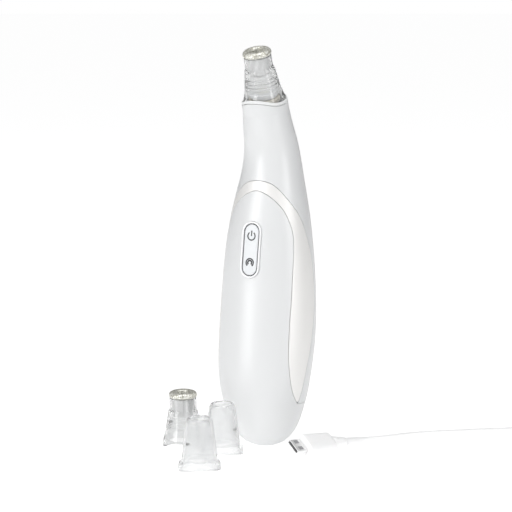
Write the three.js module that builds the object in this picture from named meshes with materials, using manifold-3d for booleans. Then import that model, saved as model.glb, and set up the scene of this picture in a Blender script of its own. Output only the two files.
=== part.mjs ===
// Blackhead vacuum extractor with three spare suction tips and a charging lead.
// Millimetres, +Z up. Origin: centre of the flat foot. The front, with the key capsule, faces -Y.
import * as THREE from 'three';
import { mergeVertices } from 'three/addons/utils/BufferGeometryUtils.js';
import Module from 'manifold-3d';

const wasm = await Module();
wasm.setup();
const { Manifold, Mesh: SolidMesh } = wasm;

// ---------------------------------------------------------------- driving dimensions
const WALL = 1.8;                 // shell wall
const GAP = 0.3;                  // clearance between neighbouring mouldings
const SEG = 36;                   // facets round the body
const TILT = 19 * Math.PI / 180;  // the tip leans forward by this much
const NECK_TOP = new THREE.Vector3(0, 0.75, 147);
const NECK_RIM = [2.7, 3.2];      // the neck's lip above that point: at the back, and its extra rise at the front
const POCKET = { r: 9.35, z: 1.7 };   // recess in the neck that the tip's skirt drops into
const GASKET_H = 1.3;             // milky gasket lying on the neck's lip
const TIP_Z = 4.3;                // skirt height of the mounted tip above the neck point
const GRIT_SKIRT = [-2.2, 3.2];   // skirt rim of a grit tip: its level, and its rise on the front side
const PLAIN_SKIRT = 0.85;         // half height of the wave in a plain tip's rim
const KEY = { c: new THREE.Vector3(0, -13.75, 88), lean: 8.6 * Math.PI / 180, ringW: 9.0, ringH: 24.2, padW: 6.5, padH: 21.7 };
const CELL = { r: 7, z0: 20, z1: 70, y: 6 };
const MOTOR = { r: 7.5, z0: 71.5, z1: 89.5, y: 6 };
const PORT = { z: 13.2, w: 7.6, h: 2.7 };
const CABLE_D = 3.3;

// body sections: height, centre, half width, tilt of the section plane (degrees)
const Z  = [0, 1.2, 3, 6, 10, 15, 21, 28, 36, 46, 57, 68, 78, 88, 97, 105, 112, 119, 126, 133, 140, 147];
const YC = [0, 0, 0, 0, -0.1, -0.4, -0.6, -0.4, 0.4, 1.8, 3.0, 3.7, 4.1, 4.5, 4.95, 5.45, 6.0, 6.6, 6.6, 5.3, 2.7, 0.75];
const HA = [6.5, 8.9, 11.0, 13.3, 15.3, 17.1, 18.8, 20.1, 20.93, 21.43, 21.37, 20.88, 20.21, 19.26, 18.06, 16.64, 15.12, 13.62, 12.41, 11.45, 10.65, 9.9];
const TAU = [0, 0, 0, 0, 0, 0, 0, 0, 0, 0, 0, 0, 0, 0, 2.1, 4, 7, 10, 13, 15, 17, 19];
function interp(x, xs, ys) {
  if (x <= xs[0]) return ys[0];
  for (let i = 1; i < xs.length; i++) if (x <= xs[i]) {
    const t = (x - xs[i - 1]) / (xs[i] - xs[i - 1]);
    return ys[i - 1] + t * (ys[i] - ys[i - 1]);
  }
  return ys[ys.length - 1];
}
const depthRatio = z => interp(z, [0, 30, 60, 90, 110, 125, 147], [.97, .95, .94, .94, .97, 1, 1]);

// side view outlines (y, z) of the trim band: inner edge next to the front panel, outer edge next to the rear shell
const EDGE_IN = [[-7.5, 113], [-7.7, 111.7], [-7.2, 110], [-6.6, 107.5], [-5.7, 104.9], [-5.2, 102.1], [-4.5, 98.4], [-4.3, 96], [-4.3, 92.7], [-4.7, 90.4], [-5.2, 86.5], [-5.9, 82.6], [-6.6, 78.2], [-7.1, 74.7], [-7.7, 70.8], [-8.1, 66.9], [-9.3, 59], [-10.2, 51.1], [-11, 43.3], [-11, 36.9], [-10.3, 31], [-9.1, 26.5], [-6.8, 22.4]];
const EDGE_OUT = [[-6.5, 116.9], [-6.3, 116.7], [-5.3, 115.1], [-4, 111.3], [-1.9, 106.5], [0.6, 101.5], [2.5, 95.3], [4.6, 87], [5.9, 82.1], [6.1, 78.7], [6.6, 72.8], [6.5, 66.4], [4.6, 57], [2.6, 49.2], [0.4, 41.3], [-1.5, 35.4], [-2.7, 29.5], [-3.7, 24.1]];
const LEAF_TIP = [-4.6, 20.4];
const SEAM_REAR = [40, 17.4];

// ---------------------------------------------------------------- helpers
function toSolid(geometry) {
  const g = geometry.clone();
  g.deleteAttribute('normal'); g.deleteAttribute('uv');
  const m = mergeVertices(g, 1e-4);
  return new Manifold(new SolidMesh({ numProp: 3, vertProperties: new Float32Array(m.attributes.position.array), triVerts: new Uint32Array(m.index.array) }));
}
function fromSolid(solid) {
  const m = solid.getMesh();
  const g = new THREE.BufferGeometry();
  g.setAttribute('position', new THREE.BufferAttribute(new Float32Array(m.vertProperties), 3));
  g.setIndex(new THREE.BufferAttribute(new Uint32Array(m.triVerts), 1));
  g.computeVertexNormals();
  return g;
}
function meshFrom(points, faces) {
  let volume = 0;
  for (const [a, b, c] of faces) {
    const A = points[a], B = points[b], C = points[c];
    volume += A[0] * (B[1] * C[2] - B[2] * C[1]) + A[1] * (B[2] * C[0] - B[0] * C[2]) + A[2] * (B[0] * C[1] - B[1] * C[0]);
  }
  const g = new THREE.BufferGeometry();
  g.setAttribute('position', new THREE.Float32BufferAttribute(points.flat(), 3));
  g.setIndex(faces.flatMap(([a, b, c]) => (volume > 0 ? [a, b, c] : [a, c, b])));
  g.computeVertexNormals();
  return g;
}
// closed rings stacked into a capped solid
function stack(rings) {
  const n = rings[0].length, points = rings.flat(), faces = [];
  for (let i = 0; i + 1 < rings.length; i++) for (let j = 0; j < n; j++) {
    const k = (j + 1) % n, a = i * n + j, b = i * n + k, c = (i + 1) * n + k, d = (i + 1) * n + j;
    faces.push([a, b, c], [a, c, d]);
  }
  const mid = ring => [0, 1, 2].map(k => ring.reduce((s, p) => s + p[k], 0) / n);
  const lo = points.length; points.push(mid(rings[0]));
  const hi = points.length; points.push(mid(rings[rings.length - 1]));
  const top = (rings.length - 1) * n;
  for (let j = 0; j < n; j++) {
    const k = (j + 1) % n;
    faces.push([lo, k, j], [hi, top + j, top + k]);
  }
  return meshFrom(points, faces);
}
// closed (r, z) profile turned about Z; lift(angle, z) raises a point, for wavy rims
function turn(profile, seg, lift = null) {
  const points = [], faces = [], m = profile.length;
  for (let j = 0; j < seg; j++) {
    const a = 2 * Math.PI * j / seg;
    for (const [r, z] of profile) points.push([r * Math.cos(a), r * Math.sin(a), z + (lift ? lift(a, z) : 0)]);
  }
  for (let j = 0; j < seg; j++) for (let i = 0; i < m; i++) {
    const k = (j + 1) % seg, l = (i + 1) % m;
    faces.push([j * m + i, k * m + i, k * m + l], [j * m + i, k * m + l, j * m + l]);
  }
  return meshFrom(points, faces);
}
// solid of revolution about Z, profile from axis to axis
function spin(profile, seg) {
  const g = new THREE.LatheGeometry(profile.map(([r, z]) => new THREE.Vector2(r, z)), seg);
  g.rotateX(Math.PI / 2);
  const m = (() => { const c = g.clone(); c.deleteAttribute('normal'); c.deleteAttribute('uv'); return mergeVertices(c, 1e-4); })();
  const p = m.attributes.position, pts = [], faces = [];
  for (let i = 0; i < p.count; i++) pts.push([p.getX(i), p.getY(i), p.getZ(i)]);
  for (let i = 0; i < m.index.count; i += 3) {
    const f = [m.index.getX(i), m.index.getX(i + 1), m.index.getX(i + 2)];
    if (f[0] !== f[1] && f[1] !== f[2] && f[0] !== f[2]) faces.push(f);
  }
  return meshFrom(pts, faces);
}
const disc = (r, z0, z1, seg = 20) => spin([[0, z0], [r, z0], [r, z1], [0, z1]], seg);
function box(w, d, h, x, y, z) { const g = new THREE.BoxGeometry(w, d, h); g.translate(x, y, z); return g; }
// polygon in the side view (y, z), as a slab along X
function sideSlab(poly, x0 = -40, x1 = 40) {
  const s = new THREE.Shape(poly.map(([y, z]) => new THREE.Vector2(y, z)));
  const g = new THREE.ExtrudeGeometry(s, { depth: x1 - x0, bevelEnabled: false });
  g.applyMatrix4(new THREE.Matrix4().makeBasis(new THREE.Vector3(0, 1, 0), new THREE.Vector3(0, 0, 1), new THREE.Vector3(1, 0, 0)));
  g.translate(x0, 0, 0);
  return g;
}
function stadium(w, h, seg = 8) {
  const r = w / 2, k = h / 2 - r, s = new THREE.Shape();
  s.absarc(0, k, r, 0, Math.PI, false);
  s.absarc(0, -k, r, Math.PI, 2 * Math.PI, false);
  s.closePath();
  return s;
}
function plate(shape, d0, d1, curveSegments = 8) {
  const g = new THREE.ExtrudeGeometry(shape, { depth: d1 - d0, bevelEnabled: false, curveSegments });
  g.translate(0, 0, d0);
  return g;
}
// key frame: local x = X, local y = up the surface, local z = out of the surface
const keyMatrix = (() => {
  const up = new THREE.Vector3(0, Math.sin(KEY.lean), Math.cos(KEY.lean));
  const out = new THREE.Vector3(0, -Math.cos(KEY.lean), Math.sin(KEY.lean));
  const m = new THREE.Matrix4().makeBasis(new THREE.Vector3(1, 0, 0), up, out);
  return m.setPosition(KEY.c);
})();
const headMatrix = new THREE.Matrix4().makeTranslation(NECK_TOP.x, NECK_TOP.y, NECK_TOP.z).multiply(new THREE.Matrix4().makeRotationX(TILT));
const placed = (g, m) => { const c = g.clone(); c.applyMatrix4(m); return c; };

const root = new THREE.Group();
function add(name, geometry, look) {
  const mesh = new THREE.Mesh(geometry, new THREE.MeshStandardMaterial(look));
  mesh.name = name;
  root.add(mesh);
  return mesh;
}
const WHITE = { color: 0xf6f7f7, roughness: 0.16, metalness: 0 };
const SILVER = { color: 0xd8d8d6, roughness: 0.12, metalness: 0.9 };
const CLEAR = { color: 0xf2f4f4, roughness: 0.08, metalness: 0, transparent: true, opacity: 0.35 };
const STEEL = { color: 0xb9bbbd, roughness: 0.25, metalness: 1 };

// ---------------------------------------------------------------- body shells
const lipWave = a => {
  const fromFront = Math.abs(Math.atan2(Math.cos(a), -Math.sin(a))) * 180 / Math.PI;
  return NECK_RIM[0] + NECK_RIM[1] * Math.exp(-Math.pow(fromFront / 50, 2.5));
};
function section(i, inset, seg, extra = 0) {
  const a = HA[i] - inset, b = HA[i] * depthRatio(Z[i]) - inset, t = TAU[i] * Math.PI / 180, ring = [];
  for (let j = 0; j < seg; j++) {
    const th = 2 * Math.PI * j / seg;
    const w = extra ? extra(th) : 0;
    ring.push([a * Math.cos(th), YC[i] + b * Math.sin(th) * Math.cos(t) - w * Math.sin(t), Z[i] + b * Math.sin(th) * Math.sin(t) + w * Math.cos(t)]);
  }
  return ring;
}
const outer = toSolid(stack([...Z.map((_, i) => section(i, 0, SEG)), section(Z.length - 1, 0.05, SEG, lipWave)]));
const innerRows = [2, 3, 4, 5, 7, 9, 11, 13, 15, 16, 17, 18, 19, 20, 21];
const innerRings = innerRows.map(i => section(i, WALL, 28, i === 21 ? () => 4 : 0));
const inner = toSolid(stack(innerRings));
const pocket = toSolid(placed(disc(POCKET.r, POCKET.z, 14, SEG), headMatrix));
const shellWall = outer.subtract(inner).subtract(pocket);

const shift = (list, dy) => list.map(([y, z]) => [y + dy, z]);
const half = GAP / 2;
const frontPoly = [[-40, 113 - half], ...shift(EDGE_IN, -half), [LEAF_TIP[0] - 0.2, LEAF_TIP[1] - half], [SEAM_REAR[0], SEAM_REAR[1] - half], [40, -5], [-40, -5]];
const trimPoly = [[-40, 116.9 - half], [-6.75, 116.9 - half], ...shift(EDGE_OUT.slice(2), -half), [LEAF_TIP[0] + 0.35, LEAF_TIP[1] + 0.9], [LEAF_TIP[0], LEAF_TIP[1] + 0.6], ...shift(EDGE_IN, half).reverse().slice(0, -1), [-7.5 + half, 113 + half], [-40, 113 + half]];
const rearPoly = [[-40, 116.9 + half], [-6.4, 116.9 + half], ...shift(EDGE_OUT.slice(2), half), [LEAF_TIP[0] + 0.75, LEAF_TIP[1] + 0.4], [SEAM_REAR[0], SEAM_REAR[1] + half], [40, 165], [-40, 165]];

const keyHole = toSolid(placed(plate(stadium(KEY.ringW + 0.5, KEY.ringH + 0.5), -4, 4), keyMatrix));
const portHole = toSolid(box(PORT.w + 1.0, 12, PORT.h + 1.0, 0, 16, PORT.z));
const frontShell = shellWall.intersect(toSolid(sideSlab(frontPoly))).subtract(keyHole).subtract(portHole);
const trim = shellWall.intersect(toSolid(sideSlab(trimPoly)));
let rearShell = shellWall.intersect(toSolid(sideSlab(rearPoly)));
const BOSS = [[-12, 30], [12, 30], [-12, 66], [12, 66]];
const solidInside = outer.subtract(toSolid(box(100, 100, 20, 0, 0, 157)));
for (const [x, z] of BOSS) {
  const b = new THREE.CylinderGeometry(2.4, 2.4, 24, 12); b.translate(x, 10.7, z);   // along Y
  rearShell = rearShell.add(toSolid(b).intersect(solidInside));
  const h = new THREE.CylinderGeometry(1.2, 1.2, 9, 10); h.translate(x, 2.5, z);
  rearShell = rearShell.subtract(toSolid(h));
}
add('front_shell', fromSolid(frontShell), WHITE);
add('rear_shell', fromSolid(rearShell), WHITE);
add('side_trim', fromSolid(trim), SILVER);

// ---------------------------------------------------------------- key capsule
{
  const s = stadium(KEY.ringW, KEY.ringH);
  s.holes.push(new THREE.Path(stadium(KEY.padW + 0.7, KEY.padH + 0.7).getPoints(8).slice(0, -1).reverse()));
  add('key_bezel', placed(plate(s, -2.4, 0.1), keyMatrix), WHITE);
  let pad = toSolid(placed(plate(stadium(KEY.padW, KEY.padH), -1.9, -0.55), keyMatrix));
  for (const v of [-5.7, 5.7]) {
    const nib = new THREE.CylinderGeometry(1.0, 1.0, 0.9, 10); nib.rotateX(Math.PI / 2); nib.translate(0, v, -2.2);
    pad = pad.add(toSolid(placed(nib, keyMatrix)));
  }
  add('key_pad', fromSolid(pad), { color: 0xd8dadd, roughness: 0.35, metalness: 0.1 });
  add('key_board', placed(box(9, 26, 1, 0, 0, -5.15), keyMatrix), { color: 0x1f6b45, roughness: 0.5, metalness: 0 });
  for (const [name, v] of [['key_switch_power', 5.7], ['key_switch_level', -5.7]]) {
    const sw = toSolid(box(4.2, 4.2, 1.0, 0, v, -3.75));
    const knob = new THREE.CylinderGeometry(0.9, 0.9, 0.6, 10); knob.rotateX(Math.PI / 2); knob.translate(0, v, -3.2);
    add(name, fromSolid(toSolid(placed(fromSolid(sw.add(toSolid(knob))), keyMatrix))), { color: 0x2b2c2e, roughness: 0.4, metalness: 0.3 });
  }
}

// ---------------------------------------------------------------- internals
{
  // chassis: a plate with two cradle rings for the cell and one for the motor, and four board posts
  let ch = toSolid(box(29, 1.6, 66, 0, -2.6, 51));
  const cradle = (r, z0, z1) => { const g = turn([[r + 0.3, z0], [r + 1.6, z0], [r + 1.6, z1], [r + 0.3, z1]], 24); g.translate(0, CELL.y, 0); return toSolid(g); };
  ch = ch.add(cradle(CELL.r, 26, 31)).add(cradle(CELL.r, 57, 62)).add(cradle(MOTOR.r, 75, 81));
  for (const [x, z] of [[-8, 38], [8, 38], [-8, 66], [8, 66]]) {
    const p = new THREE.CylinderGeometry(1.5, 1.5, 3.2, 10); p.translate(x, -4.7, z);
    ch = ch.add(toSolid(p));
  }
  for (const [x, z] of BOSS) { const h = new THREE.CylinderGeometry(1.3, 1.3, 6, 10); h.translate(x, -2.6, z); ch = ch.subtract(toSolid(h)); }
  ch = ch.subtract(toSolid((() => { const g = disc(CELL.r + 0.3, 19, 71, 24); g.translate(0, CELL.y, 0); return g; })()));
  add('chassis', fromSolid(ch), { color: 0xd9dadb, roughness: 0.5, metalness: 0 });
  const cell = spin([[0, CELL.z0], [CELL.r, CELL.z0], [CELL.r, CELL.z1 - 1.6], [2.6, CELL.z1 - 1.6], [2.6, CELL.z1], [0, CELL.z1]], 20);
  cell.translate(0, CELL.y, 0);
  add('battery', cell, { color: 0x4f8fb8, roughness: 0.4, metalness: 0.1 });
  add('main_board', box(21, 1.2, 36, 0, -7.2, 52), { color: 0x1f6b45, roughness: 0.5, metalness: 0 });
  for (const [i, [x, z]] of BOSS.entries()) {
    const s = spin([[0, 0], [0.95, 0], [0.95, 6.5], [1.9, 6.5], [1.9, 8], [0, 8]], 10);
    s.rotateX(Math.PI / 2); s.translate(x, 2.7, z);        // head at the front of the chassis, shank into the boss
    add('chassis_screw_' + (i + 1), s, STEEL);
  }
  // motor, rotor with its eccentric, and the diaphragm pump above it
  const can = turn([[1.4, MOTOR.z1 - 5], [1.4, MOTOR.z1], [MOTOR.r, MOTOR.z1], [MOTOR.r, MOTOR.z0], [0.4, MOTOR.z0], [0.4, MOTOR.z1 - 5]], 20);
  can.translate(0, MOTOR.y, 0);
  add('motor_can', can, STEEL);
  const shaft = toSolid(disc(1.0, MOTOR.z1 - 4.6, 94.9, 12));
  const ecc = disc(3.2, 91.6, 94.9, 14); ecc.translate(1.3, 0, 0);
  const rotor = fromSolid(shaft.add(toSolid(ecc))); rotor.translate(0, MOTOR.y, 0);
  add('motor_eccentric', rotor, { color: 0xc9a24a, roughness: 0.3, metalness: 0.9 });
  const pumpBody = turn([[5.6, 90.1], [10.2, 90.1], [10.2, 98.6], [2.2, 98.6], [2.2, 96.2], [5.6, 96.2]], 20);
  pumpBody.translate(0, MOTOR.y, 0);
  add('pump_body', pumpBody, { color: 0x2f3236, roughness: 0.5, metalness: 0 });
  const dia = disc(9.8, 98.9, 100.2, 20); dia.translate(0, MOTOR.y, 0);
  add('pump_diaphragm', dia, { color: 0x3c3c3c, roughness: 0.8, metalness: 0 });
  const head = spin([[0, 100.5], [10, 100.5], [10, 105], [1.4, 105], [1.4, 110], [0, 110]], 20);
  head.translate(0, MOTOR.y, 0);
  add('pump_head', head, { color: 0xe3e4e6, roughness: 0.45, metalness: 0 });
  // suction hose from the pump head up to the tip seat
  const seatLow = new THREE.Vector3(0, 0, -10.2).applyMatrix4(headMatrix);
  const seatDir = new THREE.Vector3(0, 0, 1).transformDirection(headMatrix);
  const hosePath = new THREE.CatmullRomCurve3([new THREE.Vector3(0, 6, 105.4), new THREE.Vector3(0, 6, 112), new THREE.Vector3(0, 6.3, 122), seatLow.clone().addScaledVector(seatDir, -7), seatLow]);
  const ringShape = new THREE.Shape(); ringShape.absarc(0, 0, 2.6, 0, 2 * Math.PI, false);
  const bore = new THREE.Path(); bore.absarc(0, 0, 1.8, 0, 2 * Math.PI, true); ringShape.holes.push(bore);
  add('suction_hose', new THREE.ExtrudeGeometry(ringShape, { steps: 14, curveSegments: 5, extrudePath: hosePath, bevelEnabled: false }), { color: 0xe9ecec, roughness: 0.5, metalness: 0 });
  // tip seat: disc in the neck with the spigot that the tip fits over, its seal ring and filter
  const seat = turn([[1.5, -9.8], [2.4, -9.8], [2.4, -5], [7.6, -5], [7.6, -2.4], [5.9, -2.4], [5.9, 3.4], [5.2, 3.4], [5.2, 5.6], [5.9, 5.6], [5.9, 8.4], [3.4, 8.4], [3.4, 3.7], [1.5, 3.7]], 24);
  add('tip_seat', placed(seat, headMatrix), { color: 0xeceded, roughness: 0.4, metalness: 0 });
  const seal = turn([[5.5, 3.7], [6.9, 3.7], [7.0, 4.5], [6.8, 5.3], [5.5, 5.3]], 24);
  add('seal_ring', placed(seal, headMatrix), { color: 0xcfc6b4, roughness: 0.6, metalness: 0 });
  add('filter_pad', placed(disc(3.1, 4.0, 8.0, 16), headMatrix), { color: 0xf4f4ef, roughness: 0.95, metalness: 0 });
  // charging board and its socket behind the port
  add('charge_board', box(12, 8, 1, 0, 7.2, PORT.z - 2.1), { color: 0x1f6b45, roughness: 0.5, metalness: 0 });
  const s = new THREE.Shape([[-3.75, -1.35], [3.75, -1.35], [3.75, 1.35], [-3.75, 1.35]].map(p => new THREE.Vector2(...p)));
  s.holes.push(new THREE.Path([[-3.45, -1.05], [-3.45, 1.05], [3.45, 1.05], [3.45, -1.05]].map(p => new THREE.Vector2(...p))));
  let socket = toSolid(plate(s, 0, 5.6)).add(toSolid(box(7.0, 2.2, 1, 0, 0, 0.5))).add(toSolid(box(5.4, 0.5, 4.2, 0, 0.1, 2.4)));
  const sg = fromSolid(socket); sg.rotateX(-Math.PI / 2); sg.translate(0, 9.2, PORT.z);
  add('charge_socket', sg, STEEL);
}

// ---------------------------------------------------------------- neck gasket and suction tips
const gasket = turn([[POCKET.r, 0], [9.8, 0], [9.8, GASKET_H - 0.3], [9.65, GASKET_H], [POCKET.r, GASKET_H]].map(([r, z]) => [r, z + 0.25]), SEG, lipWave);
add('neck_gasket', placed(gasket, headMatrix), { color: 0xeef0f0, roughness: 0.4, metalness: 0 });

const fade = z => Math.max(0, 1 - z / 4.6);
// a grit tip's rim stands higher on its front side, as the neck's lip does
const gritLift = (a, z) => {
  const fromFront = Math.abs(Math.atan2(Math.cos(a), -Math.sin(a))) * 180 / Math.PI;
  return (GRIT_SKIRT[0] + GRIT_SKIRT[1] * Math.exp(-Math.pow(fromFront / 50, 2.5))) * fade(z);
};
// a plain tip's rim is gently wavy
const plainLift = (a, z) => PLAIN_SKIRT * (1 + Math.cos(2 * a)) * fade(z);
const PLAIN = [[9.1, 0], [9.1, 1.5], [8.8, 2.8], [8.4, 3.3], [7.8, 3.7], [7.5, 4.8], [6.75, 11.5], [5.75, 20.2], [5.4, 21.3], [4.8, 22], [3.9, 21.9], [3.8, 20.8], [4.75, 19.6], [6.5, 5.0], [7.0, 3.8], [8.2, 0]];
const GRIT_CONE = [[9.0, 0], [9.0, 1.7], [8.5, 3.0], [7.9, 4.6], [7.6, 6.0], [6.6, 12.8], [6.35, 14.0], [5.9, 14.7], [5.85, 19.7], [5.1, 19.7], [5.0, 12.2], [6.7, 5.8], [7.1, 4.4], [7.5, 3.4], [8.2, 0]];
const SLEEVE = [[4.6, 19.7], [4.6, 12.8], [4.2, 11.8], [3.3, 11.2], [3.0, 11.6], [3.0, 19.7]];
const GRIT_RING = [[2.65, 20.5], [2.65, 20.0], [5.6, 20.0], [6.0, 20.2], [6.2, 20.8], [6.05, 21.6], [5.5, 22.2], [4.7, 22.5], [3.7, 22.4], [2.9, 22.0]];
const TIP_SEG = 32;
const RING_LOOK = { color: 0xb8b3a0, roughness: 0.5, metalness: 0.9 };
const headOffset = new THREE.Matrix4().makeTranslation(0, 0, TIP_Z);
const mounted = headMatrix.clone().multiply(headOffset);
add('head_cone', placed(turn(GRIT_CONE, TIP_SEG, gritLift), mounted), CLEAR);
add('head_sleeve', placed(turn(SLEEVE, 20), mounted), STEEL);
add('head_grit_ring', placed(turn(GRIT_RING, 24), mounted), RING_LOOK);

const GRIT_LEVEL = 2.3, PLAIN_LEVEL = 0.1;    // the rims' lowest points touch the table
const spare = (x, y, z, spinDeg) => new THREE.Matrix4().makeTranslation(x, y, z).multiply(new THREE.Matrix4().makeRotationZ(spinDeg * Math.PI / 180));
const SPARE_GRIT = spare(-28.6, -22.7, GRIT_LEVEL, 17);
const SPARE_FRONT = spare(-5.9, -48.4, PLAIN_LEVEL, -55);
const SPARE_RIGHT = spare(-8.4, -23.9, PLAIN_LEVEL, -63);
add('spare_grit_cone', placed(turn(GRIT_CONE, TIP_SEG, gritLift), SPARE_GRIT), CLEAR);
add('spare_grit_sleeve', placed(turn(SLEEVE, 20), SPARE_GRIT), STEEL);
add('spare_grit_ring', placed(turn(GRIT_RING, 24), SPARE_GRIT), RING_LOOK);
add('spare_plain_cone_a', placed(turn(PLAIN, TIP_SEG, plainLift), SPARE_FRONT), CLEAR);
add('spare_plain_cone_b', placed(turn(PLAIN, TIP_SEG, plainLift), SPARE_RIGHT), CLEAR);

// ---------------------------------------------------------------- charging lead
{
  const front = new THREE.Vector3(27.57, -18.87, 6.64), back = new THREE.Vector3(33.44, -3.06, 4.5);
  const axis = back.clone().sub(front).normalize();
  const wide = new THREE.Vector3(0.768, -0.35716, -0.53162); wide.addScaledVector(axis, -wide.dot(axis)).normalize();
  const thick = new THREE.Vector3().crossVectors(axis, wide).normalize();
  const m = new THREE.Matrix4().makeBasis(wide, thick, axis).setPosition(front);
  const rr = (w, h, r) => {
    const s = new THREE.Shape(), x = w / 2, y = h / 2;
    s.moveTo(-x + r, -y); s.lineTo(x - r, -y); s.absarc(x - r, -y + r, r, -Math.PI / 2, 0, false);
    s.lineTo(x, y - r); s.absarc(x - r, y - r, r, 0, Math.PI / 2, false); s.lineTo(-x + r, y);
    s.absarc(-x + r, y - r, r, Math.PI / 2, Math.PI, false); s.lineTo(-x, -y + r); s.absarc(-x + r, -y + r, r, Math.PI, 1.5 * Math.PI, false);
    return s;
  };
  const tube = rr(6.9, 1.9, 0.4);
  tube.holes.push(new THREE.Path(rr(6.3, 1.3, 0.25).getPoints(2).reverse()));
  const blade = toSolid(plate(tube, -5.9, -0.3, 2)).add(toSolid(box(6.5, 1.5, 0.9, 0, 0, -0.75))).add(toSolid(box(5.0, 0.5, 4.2, 0, -0.2, -3.0)));
  add('lead_plug_blade', placed(fromSolid(blade), m), STEEL);
  add('lead_plug_mould', placed(plate(rr(10.2, 6.4, 2.2), 0, 16.8, 3), m), WHITE);
  const relief = spin([[0, 17.1], [2.9, 17.1], [2.9, 19.6], [2.45, 20.4], [2.45, 23.4], [2.0, 25.2], [0, 25.2]], 12);
  add('lead_plug_relief', placed(relief, m), WHITE);
  const start = new THREE.Vector3(0, 0, 25.5).applyMatrix4(m);
  // straight out of the relief, down to the table, then along it in a loose curve towards the coil
  const C = COIL();
  const route = [start, start.clone().addScaledVector(axis, 3.2), ...[[39.6, 12.7, 2.1], [43.0, 17.1, 1.75], [47.3, 21.5, 1.67], [51.9, 26.7, 1.67], [56.9, 32.2, 1.67], [62.6, 37.3, 1.67], [74.2, 46.0, 1.67], [85.0, 53.6, 1.67], [96.0, 60.6, 1.8]].map(p => new THREE.Vector3(...p)), C.entry];
  const lead = new THREE.CatmullRomCurve3(route, false, 'centripetal');
  const round = new THREE.Shape(Array.from({ length: 8 }, (_, i) => new THREE.Vector2(CABLE_D / 2 * Math.cos(i * Math.PI / 4), CABLE_D / 2 * Math.sin(i * Math.PI / 4))));
  add('lead_cable', new THREE.ExtrudeGeometry(round, { steps: 18, extrudePath: lead, bevelEnabled: false }), WHITE);
  const coil = new THREE.LatheGeometry([[C.r0, C.z0], [C.r1, C.z0], [C.r1, C.z1], [C.r0, C.z1], [C.r0, C.z0]].map(p => new THREE.Vector2(...p)), 28);
  coil.rotateX(Math.PI / 2);
  const coilSolid = fromSolid(new Manifold(solidData(coil)));
  coilSolid.translate(C.c.x, C.c.y, 0);
  add('lead_coil', coilSolid, WHITE);
  const tie = new THREE.Shape([[14.9, 0], [23.1, 0], [23.1, 8.2], [14.9, 8.2]].map(p => new THREE.Vector2(...p)));
  tie.holes.push(new THREE.Path([[15.4, 0.5], [15.4, 7.7], [22.6, 7.7], [22.6, 0.5]].map(p => new THREE.Vector2(...p))));
  const tg = plate(tie, -2, 2);
  tg.applyMatrix4(new THREE.Matrix4().makeBasis(new THREE.Vector3(1, 0, 0), new THREE.Vector3(0, 0, 1), new THREE.Vector3(0, -1, 0)));
  tg.rotateZ(-0.9); tg.translate(C.c.x, C.c.y, 0);
  add('lead_tie', tg, { color: 0x2b2c2e, roughness: 0.7, metalness: 0 });
  // tail to the wide plug beside the coil
  const t0 = C.exit, dir = C.exitDir;
  const tailRoute = new THREE.CatmullRomCurve3([t0, t0.clone().addScaledVector(dir, 4).setZ(3.6), t0.clone().addScaledVector(dir, 9).setZ(3.6)]);
  add('lead_tail', new THREE.ExtrudeGeometry(round, { steps: 3, extrudePath: tailRoute, bevelEnabled: false }), WHITE);
  // right-handed basis: x = side, y = up, z = along the plug
  const side = new THREE.Vector3().crossVectors(new THREE.Vector3(0, 0, 1), dir).normalize();
  const bm = new THREE.Matrix4().makeBasis(side, new THREE.Vector3(0, 0, 1), dir).setPosition(t0.clone().addScaledVector(dir, 9.3).setZ(3.6));
  add('lead_wide_mould', placed(plate(rr(14.6, 7.2, 1.8), 0, 18, 3), bm), WHITE);
  const wideShell = new THREE.Shape([[-6, -2.25], [6, -2.25], [6, 2.25], [-6, 2.25]].map(p => new THREE.Vector2(...p)));
  wideShell.holes.push(new THREE.Path([[-5.65, -1.9], [-5.65, 1.9], [5.65, 1.9], [5.65, -1.9]].map(p => new THREE.Vector2(...p))));
  const shellA = toSolid(plate(wideShell, 18.3, 30.1)).add(toSolid(box(11.5, 4, 1.2, 0, 0, 18.95))).add(toSolid(box(10.8, 1.6, 10, 0, 0.9, 24)));
  add('lead_wide_blade', placed(fromSolid(shellA), bm), STEEL);
}
function solidData(g) {
  const c = g.clone(); c.deleteAttribute('normal'); c.deleteAttribute('uv');
  const m = mergeVertices(c, 1e-4);
  const idx = m.index.array, p = m.attributes.position.array;
  let v = 0;
  for (let i = 0; i < idx.length; i += 3) {
    const [a, b, d] = [idx[i] * 3, idx[i + 1] * 3, idx[i + 2] * 3];
    v += p[a] * (p[b + 1] * p[d + 2] - p[b + 2] * p[d + 1]) + p[a + 1] * (p[b + 2] * p[d] - p[b] * p[d + 2]) + p[a + 2] * (p[b] * p[d + 1] - p[b + 1] * p[d]);
  }
  const t = new Uint32Array(idx);
  if (v < 0) for (let i = 0; i < t.length; i += 3) { const s = t[i + 1]; t[i + 1] = t[i + 2]; t[i + 2] = s; }
  return new SolidMesh({ numProp: 3, vertProperties: new Float32Array(p), triVerts: t });
}
// coil of the put-away length, four turns in two layers, its centre and where the cable meets it
function COIL() {
  const c = new THREE.Vector3(130, 57, 0), R = 20.65, d = new THREE.Vector3(0.84, 0.5426, 0).normalize();
  const inward = new THREE.Vector3(d.y, -d.x, 0);                       // from the entry tangent point to the centre
  const tangentIn = c.clone().addScaledVector(inward, -R).setZ(2.45);
  const entry = tangentIn.clone().addScaledVector(d, -13.2).setZ(2.3);
  const out = d.clone();                                                  // a quarter turn further on, on the far right
  const exitDir = inward.clone();
  const tangentOut = c.clone().addScaledVector(out, R);
  const exit = tangentOut.clone().addScaledVector(exitDir, 13.2).setZ(3.8);
  return { c, entry, exit, exitDir, r0: 15.7, r1: 22.3, z0: 0.8, z1: 7.4 };
}

export default root;
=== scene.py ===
import bpy, bmesh, math
import numpy as np
from mathutils import Vector, Matrix


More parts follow.
